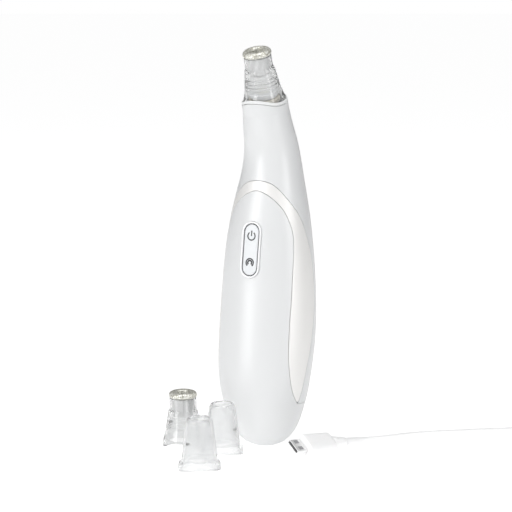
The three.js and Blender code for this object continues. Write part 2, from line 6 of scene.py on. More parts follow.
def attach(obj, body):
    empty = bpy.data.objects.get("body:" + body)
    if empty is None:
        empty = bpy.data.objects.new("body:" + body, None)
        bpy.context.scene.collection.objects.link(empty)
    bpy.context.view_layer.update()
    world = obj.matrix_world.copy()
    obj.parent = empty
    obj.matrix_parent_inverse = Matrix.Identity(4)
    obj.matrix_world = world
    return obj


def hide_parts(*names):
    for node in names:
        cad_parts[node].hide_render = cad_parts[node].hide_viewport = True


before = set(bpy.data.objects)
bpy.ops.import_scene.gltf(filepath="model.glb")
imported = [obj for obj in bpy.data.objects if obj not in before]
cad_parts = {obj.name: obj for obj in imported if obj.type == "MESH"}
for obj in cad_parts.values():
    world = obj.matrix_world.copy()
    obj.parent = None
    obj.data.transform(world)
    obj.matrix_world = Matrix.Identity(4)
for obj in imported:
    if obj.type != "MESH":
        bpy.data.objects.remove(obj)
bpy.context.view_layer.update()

MM = 0.001
scene = bpy.context.scene
scene.view_settings.view_transform = "Standard"
scene.view_settings.look = "None"
rad = math.radians

# ------------------------------------------------------------------ camera
AZ, DH = rad(27), 0.640
cam_data = bpy.data.cameras.new("camera")
camera = bpy.data.objects.new("camera", cam_data)
scene.collection.objects.link(camera)
camera.location = (DH * math.sin(AZ), -DH * math.cos(AZ), DH * math.tan(rad(16.5)))
camera.rotation_euler = (rad(90 - 9.43), 0, AZ)
cam_data.sensor_width = 36
cam_data.lens = 105.05
cam_data.shift_x = -9 / 512
cam_data.clip_start, cam_data.clip_end = 0.01, 50
scene.camera = camera


# ------------------------------------------------------------------ small helpers
def new_object(name, verts, faces, mats=(), smooth=True, mat_index=None):
    me = bpy.data.meshes.new(name)
    me.from_pydata([tuple(v) for v in verts], [], [tuple(int(i) for i in f) for f in faces])
    me.validate()
    for m in mats:
        me.materials.append(m)
    if mat_index is not None:
        me.polygons.foreach_set("material_index", np.asarray(mat_index, dtype=np.int32))
    me.polygons.foreach_set("use_smooth", np.full(len(me.polygons), smooth))
    ob = bpy.data.objects.new(name, me)
    scene.collection.objects.link(ob)
    return ob


def tidy(ob, merge=1e-6, outward=True):
    bm = bmesh.new()
    bm.from_mesh(ob.data)
    bmesh.ops.remove_doubles(bm, verts=bm.verts, dist=merge)
    bmesh.ops.dissolve_degenerate(bm, edges=bm.edges, dist=1e-8)
    if outward:
        bmesh.ops.recalc_face_normals(bm, faces=bm.faces)
    bm.to_mesh(ob.data)
    bm.free()
    ob.data.update()


def bake(ob):
    dg = bpy.context.evaluated_depsgraph_get()
    dg.update()
    me = bpy.data.meshes.new_from_object(ob.evaluated_get(dg), depsgraph=dg)
    ob.modifiers.clear()
    old = ob.data
    ob.data = me
    bpy.data.meshes.remove(old)
    return ob


def spline(x, y):
    """natural cubic spline through the points, as a function"""
    x, y = np.asarray(x, float), np.asarray(y, float)
    n = len(x)
    h = np.diff(x)
    M = np.zeros((n, n)); r = np.zeros(n)
    M[0, 0] = M[-1, -1] = 1
    for i in range(1, n - 1):
        M[i, i - 1], M[i, i], M[i, i + 1] = h[i - 1], 2 * (h[i - 1] + h[i]), h[i]
        r[i] = 6 * ((y[i + 1] - y[i]) / h[i] - (y[i] - y[i - 1]) / h[i - 1])
    m = np.linalg.solve(M, r)

    def f(t):
        t = np.asarray(t, float)
        k = np.clip(np.searchsorted(x, t) - 1, 0, n - 2)
        a, b = x[k + 1] - t, t - x[k]
        return (m[k] * a ** 3 + m[k + 1] * b ** 3) / (6 * h[k]) + (y[k] / h[k] - m[k] * h[k] / 6) * a + (y[k + 1] / h[k] - m[k + 1] * h[k] / 6) * b
    return f


def smoothstep(t):
    t = np.clip(t, 0, 1)
    return t * t * (3 - 2 * t)


def blur(v, sigma):
    """smooth a densely sampled curve, ends held"""
    n = int(sigma * 3)
    k = np.exp(-0.5 * (np.arange(-n, n + 1) / sigma) ** 2); k /= k.sum()
    pad = np.concatenate([2 * v[0] - v[n:0:-1], v, 2 * v[-1] - v[-2:-n - 2:-1]])
    return np.convolve(pad, k, mode="valid")


# ------------------------------------------------------------------ materials
def material(name, base, rough=0.4, metal=0.0, vary=0.02, vary_scale=60.0, rough_vary=0.05, rough_scale=300.0,
             bump=0.0, bump_scale=1500.0, coat=0.0, coat_rough=0.05, ior=1.5, transmission=0.0, alpha=1.0,
             sheen=0.0, specular=0.5, subsurface=0.0, tint=None, aniso=0.0, voronoi=False, bump_dist=0.00005,
             stretch=None, contrast=1.0):
    m = bpy.data.materials.new(name)
    m.use_nodes = True
    nt = m.node_tree
    nt.nodes.clear()
    out = nt.nodes.new("ShaderNodeOutputMaterial")
    p = nt.nodes.new("ShaderNodeBsdfPrincipled")
    nt.links.new(p.outputs[0], out.inputs[0])
    co = nt.nodes.new("ShaderNodeTexCoord")
    n1 = nt.nodes.new("ShaderNodeTexNoise")
    n1.inputs["Scale"].default_value = vary_scale
    n1.inputs["Detail"].default_value = 3
    if stretch:                                                    # streaks instead of spots
        mp = nt.nodes.new("ShaderNodeMapping")
        mp.inputs["Scale"].default_value = stretch
        nt.links.new(co.outputs["Object"], mp.inputs["Vector"])
        nt.links.new(mp.outputs["Vector"], n1.inputs["Vector"])
    else:
        nt.links.new(co.outputs["Object"], n1.inputs["Vector"])
    mix = nt.nodes.new("ShaderNodeMix"); mix.data_type = "RGBA"
    other = tint if tint is not None else [max(0, c * (1 - vary * 2)) for c in base]
    mix.inputs["A"].default_value = (*base, 1)
    mix.inputs["B"].default_value = (*other, 1)
    if contrast != 1.0:
        cr = nt.nodes.new("ShaderNodeMapRange")
        cr.inputs["From Min"].default_value = 0.5 - 0.5 / contrast
        cr.inputs["From Max"].default_value = 0.5 + 0.5 / contrast
        nt.links.new(n1.outputs["Fac"], cr.inputs["Value"])
        nt.links.new(cr.outputs["Result"], mix.inputs["Factor"])
    else:
        nt.links.new(n1.outputs["Fac"], mix.inputs["Factor"])
    nt.links.new(mix.outputs["Result"], p.inputs["Base Color"])
    n2 = nt.nodes.new("ShaderNodeTexNoise")
    n2.inputs["Scale"].default_value = rough_scale
    n2.inputs["Detail"].default_value = 4
    nt.links.new(co.outputs["Object"], n2.inputs["Vector"])
    mr = nt.nodes.new("ShaderNodeMapRange")
    mr.inputs["To Min"].default_value = max(0.0, rough - rough_vary)
    mr.inputs["To Max"].default_value = min(1.0, rough + rough_vary)
    nt.links.new(n2.outputs["Fac"], mr.inputs["Value"])
    nt.links.new(mr.outputs["Result"], p.inputs["Roughness"])
    if bump:
        if voronoi:
            n3 = nt.nodes.new("ShaderNodeTexVoronoi")
            n3.inputs["Scale"].default_value = bump_scale
            nt.links.new(co.outputs["Object"], n3.inputs["Vector"])
            src = n3.outputs["Distance"]
        else:
            n3 = nt.nodes.new("ShaderNodeTexNoise")
            n3.inputs["Scale"].default_value = bump_scale
            n3.inputs["Detail"].default_value = 2
            nt.links.new(co.outputs["Object"], n3.inputs["Vector"])
            src = n3.outputs["Fac"]
        b = nt.nodes.new("ShaderNodeBump")
        b.inputs["Strength"].default_value = bump
        b.inputs["Distance"].default_value = bump_dist
        nt.links.new(src, b.inputs["Height"])
        nt.links.new(b.outputs["Normal"], p.inputs["Normal"])
    p.inputs["Metallic"].default_value = metal
    p.inputs["IOR"].default_value = ior
    p.inputs["Coat Weight"].default_value = coat
    p.inputs["Coat Roughness"].default_value = coat_rough
    p.inputs["Transmission Weight"].default_value = transmission
    p.inputs["Alpha"].default_value = alpha
    p.inputs["Sheen Weight"].default_value = sheen
    p.inputs["Specular IOR Level"].default_value = specular
    p.inputs["Anisotropic"].default_value = aniso
    if subsurface:
        p.inputs["Subsurface Weight"].default_value = subsurface
        p.inputs["Subsurface Radius"].default_value = (0.002, 0.002, 0.002)
    m.diffuse_color = (*base, 1)
    return m


WHITE = material("pearl_white", (0.694, 0.702, 0.706), rough=0.41, vary=0.004, rough_vary=0.03, bump=0.03, bump_scale=900, coat=0.7, coat_rough=0.28, specular=0.75)
TRIM = material("satin_silver", (0.835, 0.827, 0.812), rough=0.46, metal=0.28, vary=0.01, rough_vary=0.03, rough_scale=900, bump=0.03, bump_scale=4000, specular=0.55)
RINGW = material("bezel_white", (0.83, 0.835, 0.84), rough=0.25, vary=0.005, rough_vary=0.02, coat=0.4, coat_rough=0.1)
# the bezel's inner wall is grey as painted shade of the narrow gap round the key pad
LINER_GAP_SHADE = material("bezel_wall_painted_gap_shade", (0.62, 0.62, 0.63), rough=0.35, metal=0.3, vary=0.02, rough_vary=0.03)
PLATED = material("key_edge_plating", (0.24, 0.24, 0.25), rough=0.22, metal=0.9, vary=0.02, rough_vary=0.03)
PAD = material("pad_grey", (0.70, 0.715, 0.73), rough=0.34, vary=0.01, rough_vary=0.04, bump=0.06, bump_scale=2500)
ICON = material("icon_print", (0.045, 0.046, 0.05), rough=0.5, vary=0.05, rough_vary=0.05)
GASKET = material("milky_silicone", (0.77, 0.78, 0.78), rough=0.35, vary=0.01, rough_vary=0.05, subsurface=0.1)
CLEAR = material("clear_polycarbonate", (0.79, 0.795, 0.795), rough=0.04, vary=0.0, rough_vary=0.02, rough_scale=500, ior=1.50, transmission=0.94, alpha=0.97)
FROST = material("hazy_polycarbonate", (0.835, 0.84, 0.843), rough=0.20, vary=0.0, rough_vary=0.05, rough_scale=400, ior=1.46, transmission=0.85, alpha=0.96)
# the walls of the vent holes in the clear tips are painted dark grey as shade inside the holes
VENT_SHADE = material("vent_wall_painted_shade", (0.30, 0.30, 0.30), rough=0.45, vary=0.03, rough_vary=0.05)
STEEL = material("polished_steel", (0.62, 0.63, 0.64), rough=0.22, metal=1.0, vary=0.03, rough_vary=0.05, bump=0.04, bump_scale=6000)
SLEEVE_STEEL = material("drawn_steel", (0.97, 0.97, 0.97), rough=0.30, metal=0.6, vary_scale=420, tint=(0.50, 0.50, 0.50), rough_vary=0.05, stretch=(1, 1, 0.03), contrast=2.0)
GRIT = material("diamond_grit", (0.97, 0.97, 0.92), rough=0.40, metal=0.45, vary_scale=1500, tint=(0.32, 0.31, 0.24), rough_vary=0.15, rough_scale=2500, bump=0.5, bump_scale=1500, voronoi=True, bump_dist=0.00015, contrast=2.8)
SEAL = material("beige_silicone", (0.60, 0.56, 0.48), rough=0.45, vary=0.02, rough_vary=0.05)
FOAM = material("filter_foam", (0.86, 0.86, 0.82), rough=0.9, vary=0.04, vary_scale=1500, bump=0.8, bump_scale=1800, bump_dist=0.0002)
INNER = material("inner_plastic", (0.78, 0.79, 0.80), rough=0.45, vary=0.01, rough_vary=0.06, bump=0.1, bump_scale=2500)
CELL = material("cell_wrap", (0.10, 0.25, 0.45), rough=0.35, vary=0.03, rough_vary=0.05, coat=0.3)
BOARD = material("solder_mask", (0.03, 0.16, 0.07), rough=0.4, vary=0.15, vary_scale=700, rough_vary=0.1, bump=0.3, bump_scale=900)
BLACK = material("black_plastic", (0.03, 0.03, 0.033), rough=0.4, vary=0.05, rough_vary=0.08, bump=0.1, bump_scale=2500)
BRASS = material("turned_brass", (0.62, 0.44, 0.17), rough=0.25, metal=1.0, vary=0.04, rough_vary=0.06, bump=0.06, bump_scale=5000)
RUBBER = material("dark_rubber", (0.035, 0.035, 0.035), rough=0.7, vary=0.08, rough_vary=0.08, bump=0.2, bump_scale=2500)
SILICONE = material("hose_silicone", (0.80, 0.82, 0.82), rough=0.35, vary=0.01, rough_vary=0.05, subsurface=0.2)
MOULD = material("lead_mould", (0.98, 0.98, 0.98), rough=0.40, vary=0.004, rough_vary=0.05, bump=0.08, bump_scale=2200)
CABLE = material("lead_jacket", (0.935, 0.935, 0.935), rough=0.42, vary=0.006, rough_vary=0.05, bump=0.1, bump_scale=1500)
TIE = material("tie_rubber", (0.04, 0.04, 0.042), rough=0.6, vary=0.05, rough_vary=0.08, bump=0.3, bump_scale=2500)
GOLD = material("contact_gold", (0.75, 0.58, 0.25), rough=0.22, metal=1.0, vary=0.03, rough_vary=0.05)
PLUG_STEEL = material("plug_plating", (0.86, 0.86, 0.86), rough=0.42, metal=0.45, vary=0.02, rough_vary=0.04, bump=0.04, bump_scale=6000)
# grey patches on the small plug: on the latch windows they are painted shade of the openings, down the middle a dark
# seam
WINDOW_SHADE_AND_SEAM = material("plug_window_shade_and_seam", (0.34, 0.34, 0.35), rough=0.5, vary=0.04, rough_vary=0.05)


# ------------------------------------------------------------------ the charging lead (first, with the camera)
def catmull(points, per=14):
    """centripetal curve through the points, as the tube in the model follows"""
    P = [np.array(p, float) for p in points]
    P = [2 * P[0] - P[1]] + P + [2 * P[-1] - P[-2]]
    out = []
    for i in range(1, len(P) - 2):
        p0, p1, p2, p3 = P[i - 1:i + 3]
        t0 = 0.0
        t1 = t0 + np.linalg.norm(p1 - p0) ** 0.5
        t2 = t1 + np.linalg.norm(p2 - p1) ** 0.5
        t3 = t2 + np.linalg.norm(p3 - p2) ** 0.5
        for t in np.linspace(t1, t2, per, endpoint=False):
            a1 = (t1 - t) / (t1 - t0) * p0 + (t - t0) / (t1 - t0) * p1
            a2 = (t2 - t) / (t2 - t1) * p1 + (t - t1) / (t2 - t1) * p2
            a3 = (t3 - t) / (t3 - t2) * p2 + (t - t2) / (t3 - t2) * p3
            b1 = (t2 - t) / (t2 - t0) * a1 + (t - t0) / (t2 - t0) * a2
            b2 = (t3 - t) / (t3 - t1) * a2 + (t - t1) / (t3 - t1) * a3
            out.append((t2 - t) / (t2 - t1) * b1 + (t - t1) / (t2 - t1) * b2)
    out.append(P[-2])
    return out


def resample(points, step):
    P = np.array(points)
    s = np.concatenate([[0], np.cumsum(np.linalg.norm(np.diff(P, axis=0), axis=1))])
    n = max(2, int(round(s[-1] / step)) + 1)
    t = np.linspace(0, s[-1], n)
    return np.stack([np.interp(t, s, P[:, k]) for k in range(3)], 1)


def tube(name, path, radius, mat, sides=20, caps=True):
    P = np.array(path, float)
    T = np.gradient(P, axis=0)
    T /= np.linalg.norm(T, axis=1)[:, None]
    n = np.cross(T[0], [0, 0, 1.0]); n /= np.linalg.norm(n)
    verts, faces = [], []
    R = radius if np.ndim(radius) else np.full(len(P), radius)
    for i in range(len(P)):
        n = n - T[i] * n.dot(T[i]); n /= np.linalg.norm(n)
        b = np.cross(T[i], n)
        for j in range(sides):
            a = 2 * math.pi * j / sides
            verts.append(P[i] + R[i] * (math.cos(a) * n + math.sin(a) * b))
    for i in range(len(P) - 1):
        for j in range(sides):
            k = (j + 1) % sides
            faces.append((i * sides + j, i * sides + k, (i + 1) * sides + k, (i + 1) * sides + j))
    if caps:
        faces.append(tuple(range(sides - 1, -1, -1)))
        faces.append(tuple((len(P) - 1) * sides + j for j in range(sides)))
    ob = new_object(name, verts, faces, [mat])
    tidy(ob, 1e-7)
    return ob


plug_front = np.array([27.57, -18.87, 6.64]); plug_back = np.array([33.44, -3.06, 4.5])
plug_axis = (plug_back - plug_front) / np.linalg.norm(plug_back - plug_front)
plug_wide = np.array([0.768, -0.35716, -0.53162]); plug_wide -= plug_axis * plug_wide.dot(plug_axis); plug_wide /= np.linalg.norm(plug_wide)
plug_thick = np.cross(plug_axis, plug_wide)
plug_m = Matrix(((plug_wide[0], plug_thick[0], plug_axis[0], plug_front[0]),
                 (plug_wide[1], plug_thick[1], plug_axis[1], plug_front[1]),
                 (plug_wide[2], plug_thick[2], plug_axis[2], plug_front[2]),
                 (0, 0, 0, 1)))
COIL_C = np.array([130.0, 57.0, 0.0]); COIL_R = 20.65; INNER_R = 17.35
d_in = np.array([0.84, 0.5426, 0.0]); d_in /= np.linalg.norm(d_in)
inward = np.array([d_in[1], -d_in[0], 0.0])
tangent_in = COIL_C - COIL_R * inward
entry = tangent_in - 13.2 * d_in
start = plug_front + 25.5 * plug_axis
route = [start, start + 3.2 * plug_axis, (39.6, 12.7, 2.1), (43.0, 17.1, 1.75), (47.3, 21.5, 1.67), (51.9, 26.7, 1.67), (56.9, 32.2, 1.67),
         (62.6, 37.3, 1.67), (74.2, 46.0, 1.67), (85.0, 53.6, 1.67), (96.0, 60.6, 1.8), (entry[0], entry[1], 2.3)]
line = catmull(route, 12)
line += [np.array([*(entry + (13.2 * k / 6) * d_in)[:2], 2.3 + 0.15 * k / 6]) for k in range(1, 7)]
a0 = math.atan2(-inward[1], -inward[0])
for deg in range(4, 1171, 4):        # three and a quarter turns, two side by side and two on top of them
    if deg > 1170: break
    r = COIL_R - (COIL_R - INNER_R) * smoothstep((deg - 250) / 110) + (COIL_R - INNER_R) * smoothstep((deg - 820) / 110)
    z = 2.45 + 3.3 * smoothstep((deg - 570) / 90)
    a = a0 - rad(deg)
    line.append(np.array([COIL_C[0] + r * math.cos(a), COIL_C[1] + r * math.sin(a), float(z)]))
out_dir = inward
tangent_out = COIL_C + COIL_R * d_in
for k in range(1, 14):
    s = 22.0 * k / 13
    q = tangent_out + s * out_dir
    line.append(np.array([q[0], q[1], 5.75 - 2.15 * float(smoothstep(s / 16.0))]))
cord_path = resample(line, 1.6) * MM
cord = tube("charging_cable", cord_path, 1.65 * MM, CABLE, sides=20)
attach(cord, "extractor")
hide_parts("lead_cable", "lead_coil", "lead_tail")


# ------------------------------------------------------------------ moulded plugs
def rounded_rect(w, h, r, n=6, taper=0.0):
    """points round a w by h rectangle with corner radius r; taper pulls the -y corners in"""
    pts = []
    for cx, cy, a in ((w / 2 - r, h / 2 - r, 0), (-w / 2 + r, h / 2 - r, 90), (-w / 2 + r, -h / 2 + r, 180), (w / 2 - r, -h / 2 + r, 270)):
        for k in range(n + 1):
            t = rad(a + 90 * k / n)
            x, y = cx + r * math.cos(t), cy + r * math.sin(t)
            if taper and y < 0:
                x -= math.copysign(taper * min(1, -y / (h / 2)), x)
            pts.append((x, y))
    return pts


def lofted(name, sections, mat, matrix, cap=True):
    """sections: list of (points, z) in mm"""
    n = len(sections[0][0]); verts, faces = [], []
    for pts, z in sections:
        verts += [tuple(MM * c for c in matrix @ Vector((x, y, z))) for x, y in pts]
    for i in range(len(sections) - 1):
        for j in range(n):
            k = (j + 1) % n
            faces.append((i * n + j, i * n + k, (i + 1) * n + k, (i + 1) * n + j))
    if cap:
        faces.append(tuple(range(n - 1, -1, -1)))
        faces.append(tuple((len(sections) - 1) * n + j for j in range(n)))
    ob = new_object(name, verts, faces, [mat])
    tidy(ob, 1e-8)
    return ob


def soft_box(w, h, r, z0, z1, edge, n=5, taper_end=0.0, m=6):
    """sections of a rounded block from z0 to z1 with its end edges rounded by edge"""
    out = []
    for k in range(n + 1):
        t = math.pi / 2 * k / n
        i = edge * (1 - math.sin(t))
        out.append((rounded_rect(w - 2 * i, h - 2 * i, max(0.3, r - i), m), z0 + edge * (1 - math.cos(t))))
    for k in range(1, 6):
        t = k / 6
        out.append((rounded_rect(w - taper_end * t, h - taper_end * 0.6 * t, r, m), z0 + edge + (z1 - z0 - 2 * edge) * t))
    for k in range(n, -1, -1):
        t = math.pi / 2 * k / n
        i = edge * (1 - math.sin(t))
        out.append((rounded_rect(w - 2 * i - taper_end, h - 2 * i - taper_end * 0.6, max(0.3, r - i), m), z1 - edge * (1 - math.cos(t))))
    return out


def sharpen(ob, angle=35):
    """smooth shading with hard edges kept"""
    ob.data.set_sharp_from_angle(angle=rad(angle))


def turned(name, profile, mats, matrix, seg=128, lift=None, closed=True, mat_of=None):
    """(r, z) profile in mm turned about local Z"""
    m = len(profile); verts, faces, idx = [], [], []
    for j in range(seg):
        a = 2 * math.pi * j / seg
        for r, z in profile:
            verts.append(tuple(MM * c for c in matrix @ Vector((r * math.cos(a), r * math.sin(a), z + (lift(a, z) if lift else 0)))))
    for j in range(seg):
        k = (j + 1) % seg
        for i in range(m if closed else m - 1):
            l = (i + 1) % m
            faces.append((j * m + i, k * m + i, k * m + l, j * m + l))
            idx.append(mat_of(i) if mat_of else 0)
    ob = new_object(name, verts, faces, mats, mat_index=idx)
    tidy(ob, 1e-8)
    return ob


def fillet(profile, radius, n=4, closed=True):
    """round each corner of a polyline; radius is one number or one per corner"""
    P = [np.array(p, float) for p in profile]
    R = radius if isinstance(radius, (list, tuple)) else [radius] * len(P)
    out = []
    for i, p in enumerate(P):
        if not closed and i in (0, len(P) - 1):
            out.append(tuple(p)); continue
        a, b = P[i - 1] - p, P[(i + 1) % len(P)] - p
        la, lb = np.linalg.norm(a), np.linalg.norm(b)
        d = min(R[i], 0.45 * la, 0.45 * lb)
        if d < 1e-3:
            out.append(tuple(p)); continue
        q0, q1 = p + a / la * d, p + b / lb * d
        for k in range(n + 1):
            t = k / n
            out.append(tuple((1 - t) ** 2 * q0 + 2 * t * (1 - t) * p + t * t * q1))
    return out


def densify(profile, step, closed=True):
    out = []
    m = len(profile)
    for i in range(m if closed else m - 1):
        a, b = np.array(profile[i]), np.array(profile[(i + 1) % m])
        k = max(1, int(np.linalg.norm(b - a) / step))
        out += [tuple(a + (b - a) * t / k) for t in range(k)]
    if not closed:
        out.append(tuple(profile[-1]))
    return out


mould = lofted("plug_mould", soft_box(10.2, 6.4, 2.3, 0, 16.8, 0.9, taper_end=0.5), MOULD, plug_m)
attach(mould, "extractor"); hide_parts("lead_plug_mould")
rel_prof = fillet([(0, 17.1), (2.9, 17.1), (2.9, 19.3), (2.42, 20.2), (2.42, 23.0), (1.95, 25.2), (0, 25.2)], [0, .3, .6, .5, .5, .25, 0], 5, closed=False)
relief = turned("plug_relief", rel_prof, [MOULD], plug_m, 64, closed=False)
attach(relief, "extractor"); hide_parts("lead_plug_relief")


def metal_shell(name, w, h, r, z0, z1, wall, mats, matrix, taper=0.0, tongue=None, slots=()):
    """open-ended metal plug shell with its insert"""
    outer, inner = rounded_rect(w, h, r, 5, taper), rounded_rect(w - 2 * wall, h - 2 * wall, max(0.12, r - wall), 5, taper)
    n = len(outer); verts, faces, idx = [], [], []
    ring = lambda pts, z: verts.extend(tuple(MM * c for c in matrix @ Vector((x, y, z))) for x, y in pts)
    ring(inner, z0 + (z1 - z0) * 0.9); ring(inner, z0 + 0.08); ring(rounded_rect(w - wall, h - wall, max(0.15, r - wall / 2), 5, taper), z0); ring(outer, z0 + 0.08)
    ring(outer, z1)
    for i in range(4):
        for j in range(n):
            k = (j + 1) % n
            faces.append((i * n + j, i * n + k, (i + 1) * n + k, (i + 1) * n + j)); idx.append(0)
    faces.append(tuple(range(n - 1, -1, -1))); idx.append(1)
    faces.append(tuple(4 * n + j for j in range(n))); idx.append(0)

    def block(x0, x1, y0, y1, za, zb, mi):
        b = len(verts)
        for z in (za, zb):
            for x, y in ((x0, y0), (x1, y0), (x1, y1), (x0, y1)):
                verts.append(tuple(MM * c for c in matrix @ Vector((x, y, z))))
        for f in ((0, 3, 2, 1), (4, 5, 6, 7), (0, 1, 5, 4), (1, 2, 6, 5), (2, 3, 7, 6), (3, 0, 4, 7)):
            faces.append(tuple(b + v for v in f)); idx.append(mi)
    if tongue:
        tw, t0, t1, depth, contacts = tongue
        block(-tw / 2, tw / 2, t0, t1, z0 + 0.9, z0 + (z1 - z0) * 0.9, 1)
        for c in range(contacts):
            x = (c - (contacts - 1) / 2) * tw / (contacts + 0.4)
            block(x - 0.16, x + 0.16, t0 - 0.06, t0 + 0.02, z0 + 1.0, z0 + 1.0 + depth, 2)
    for (x0, x1, za, zb, side) in slots:
        y = h / 2 if side > 0 else -h / 2
        block(x0, x1, y - 0.03, y + 0.012, za, zb, len(mats) - 1)
    ob = new_object(name, verts, faces, mats, mat_index=idx, smooth=True)
    sharpen(ob, 40)
    return ob


# the grey latch-window patches are painted shade of the openings; the narrow middle strip is the seam
blade = metal_shell("plug_blade", 6.9, 1.9, 0.35, -5.9, -0.3, 0.3, [PLUG_STEEL, BLACK, GOLD, WINDOW_SHADE_AND_SEAM], plug_m, taper=0.0,
                    tongue=(5.2, -0.45, 0.05, 2.6, 5), slots=[(-2.7, -0.9, -4.3, -1.9, 1), (0.9, 2.7, -4.3, -1.9, 1), (-0.05, 0.05, -5.6, -0.5, 1), (-2.7, -0.9, -4.3, -1.9, -1), (0.9, 2.7, -4.3, -1.9, -1)])
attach(blade, "extractor"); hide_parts("lead_plug_blade")

wide_at = tangent_out + (13.2 + 9.3) * out_dir
side = np.cross([0, 0, 1], out_dir)
wide_m = Matrix(((side[0], 0, out_dir[0], wide_at[0]), (side[1], 0, out_dir[1], wide_at[1]), (side[2], 1, out_dir[2], 3.6), (0, 0, 0, 1)))
wide_mould = lofted("wide_plug_mould", soft_box(14.6, 7.2, 1.9, 0, 18, 0.9), MOULD, wide_m)
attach(wide_mould, "extractor"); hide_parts("lead_wide_mould")
wide_m_flip = wide_m @ Matrix.Translation((0, 0, 30.1)) @ Matrix.Rotation(math.pi, 4, "Y")
wide_blade = metal_shell("wide_plug_blade", 12, 4.5, 0.3, 0, 11.8, 0.33, [STEEL, BLACK, GOLD], wide_m_flip, tongue=(10.8, -0.1, 1.7, 7.0, 4),
                         slots=[(-3.8, -1.4, 5.6, 7.8, 1), (1.4, 3.8, 5.6, 7.8, 1), (-3.8, -1.4, 5.6, 7.8, -1), (1.4, 3.8, 5.6, 7.8, -1)])
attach(wide_blade, "extractor"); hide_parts("lead_wide_blade")

# band that holds the coil
tie_sec = [(x, y) for x, y in rounded_rect(8.2, 8.2, 1.6, 6)]
tie_in = [(x, y) for x, y in rounded_rect(7.2, 7.2, 1.1, 6)]
tverts, tfaces = [], []
ta = -0.9
tr = np.array([math.cos(ta), math.sin(ta), 0]); tt = np.array([-math.sin(ta), math.cos(ta), 0])
n = len(tie_sec)
for pts, off in ((tie_in, -2.0), (tie_sec, -2.0), (tie_sec, 2.0), (tie_in, 2.0)):
    for x, y in pts:
        tverts.append((COIL_C + tr * (19.0 + x) + tt * off + np.array([0, 0, 4.1 + y])) * MM)
for i in range(4):
    for j in range(n):
        k = (j + 1) % n
        tfaces.append((i * n + j, i * n + k, ((i + 1) % 4) * n + k, ((i + 1) % 4) * n + j))
tie = new_object("coil_tie", tverts, tfaces, [TIE])
tidy(tie, 1e-8)
mod = tie.modifiers.new("b", "BEVEL"); mod.width = 0.12 * MM; mod.segments = 2; mod.limit_method = "ANGLE"; mod.angle_limit = rad(50)
bake(tie); sharpen(tie, 40)
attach(tie, "extractor"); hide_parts("lead_tie")

# ------------------------------------------------------------------ body surface
Z = [0, 1.2, 3, 6, 10, 15, 21, 28, 36, 46, 57, 68, 78, 88, 97, 105, 112, 119, 126, 133, 140, 147]
YC = [0, 0, 0, 0, -0.1, -0.4, -0.6, -0.4, 0.4, 1.8, 3.0, 3.7, 4.1, 4.5, 4.95, 5.45, 6.0, 6.6, 6.6, 5.3, 2.7, 0.75]
HA = [6.5, 8.9, 11.0, 13.3, 15.3, 17.1, 18.8, 20.1, 20.93, 21.43, 21.37, 20.88, 20.21, 19.26, 18.06, 16.64, 15.12, 13.62, 12.41, 11.45, 10.65, 9.9]
TAU = [0, 0, 0, 0, 0, 0, 0, 0, 0, 0, 0, 0, 0, 0, 2.1, 4, 7, 10, 13, 15, 17, 19]
RZ, RV = [0, 30, 60, 90, 110, 125, 147], [.97, .95, .94, .94, .97, 1, 1]
arc = np.concatenate([[0], np.cumsum(np.hypot(np.diff(Z), np.diff(HA)))])
fz, fa, fy = spline(arc, Z), spline(arc, HA), spline(arc, YC)
ft = spline(arc, TAU)
dense = np.linspace(0, arc[-1], 2400)
dz, da, dy, dt = fz(dense), fa(dense), fy(dense), ft(dense)
dz = np.maximum.accumulate(dz)
dr = blur(np.interp(dz, RZ, RV), 60)
db = da * dr


def lip_height(phi):
    """height of the neck's lip above its last section; phi from the front"""
    d = np.degrees(np.abs(np.arctan2(np.sin(phi), np.cos(phi))))
    return 2.7 + 3.2 * np.exp(-(d / 50) ** 2.5)


def S(phi, z):
    """surface point in mm; phi is the angle from the front (radians, positive to +X), z the section's height"""
    phi, z = np.broadcast_arrays(np.asarray(phi, float), np.asarray(z, float))
    a, b, y, t = (np.interp(z, dz, v) for v in (da, db, dy, dt))
    t = np.radians(np.where(z > 89, t, 0) * smoothstep((z - 89) / 6))
    s = -b * np.cos(phi)
    w = np.maximum(0, z - 147) * lip_height(phi)                         # from 147 to 148 the wall runs on up to the wavy lip
    z = np.minimum(z, 147)
    return np.stack([a * np.sin(phi), y + s * np.cos(t) - w * np.sin(t), z + s * np.sin(t) + w * np.cos(t)], -1)


def unmap(x, y, zw):
    """angle and section height of a surface point"""
    z = zw
    for _ in range(8):
        a, b, yc, t = (float(np.interp(z, dz, v)) for v in (da, db, dy, dt))
        t = rad(t * float(smoothstep((z - 89) / 6))) if z > 89 else 0.0
        s = (y - yc) / math.cos(t)
        z = zw - s * math.sin(t)
    return math.atan2(x / a, -s / b), z


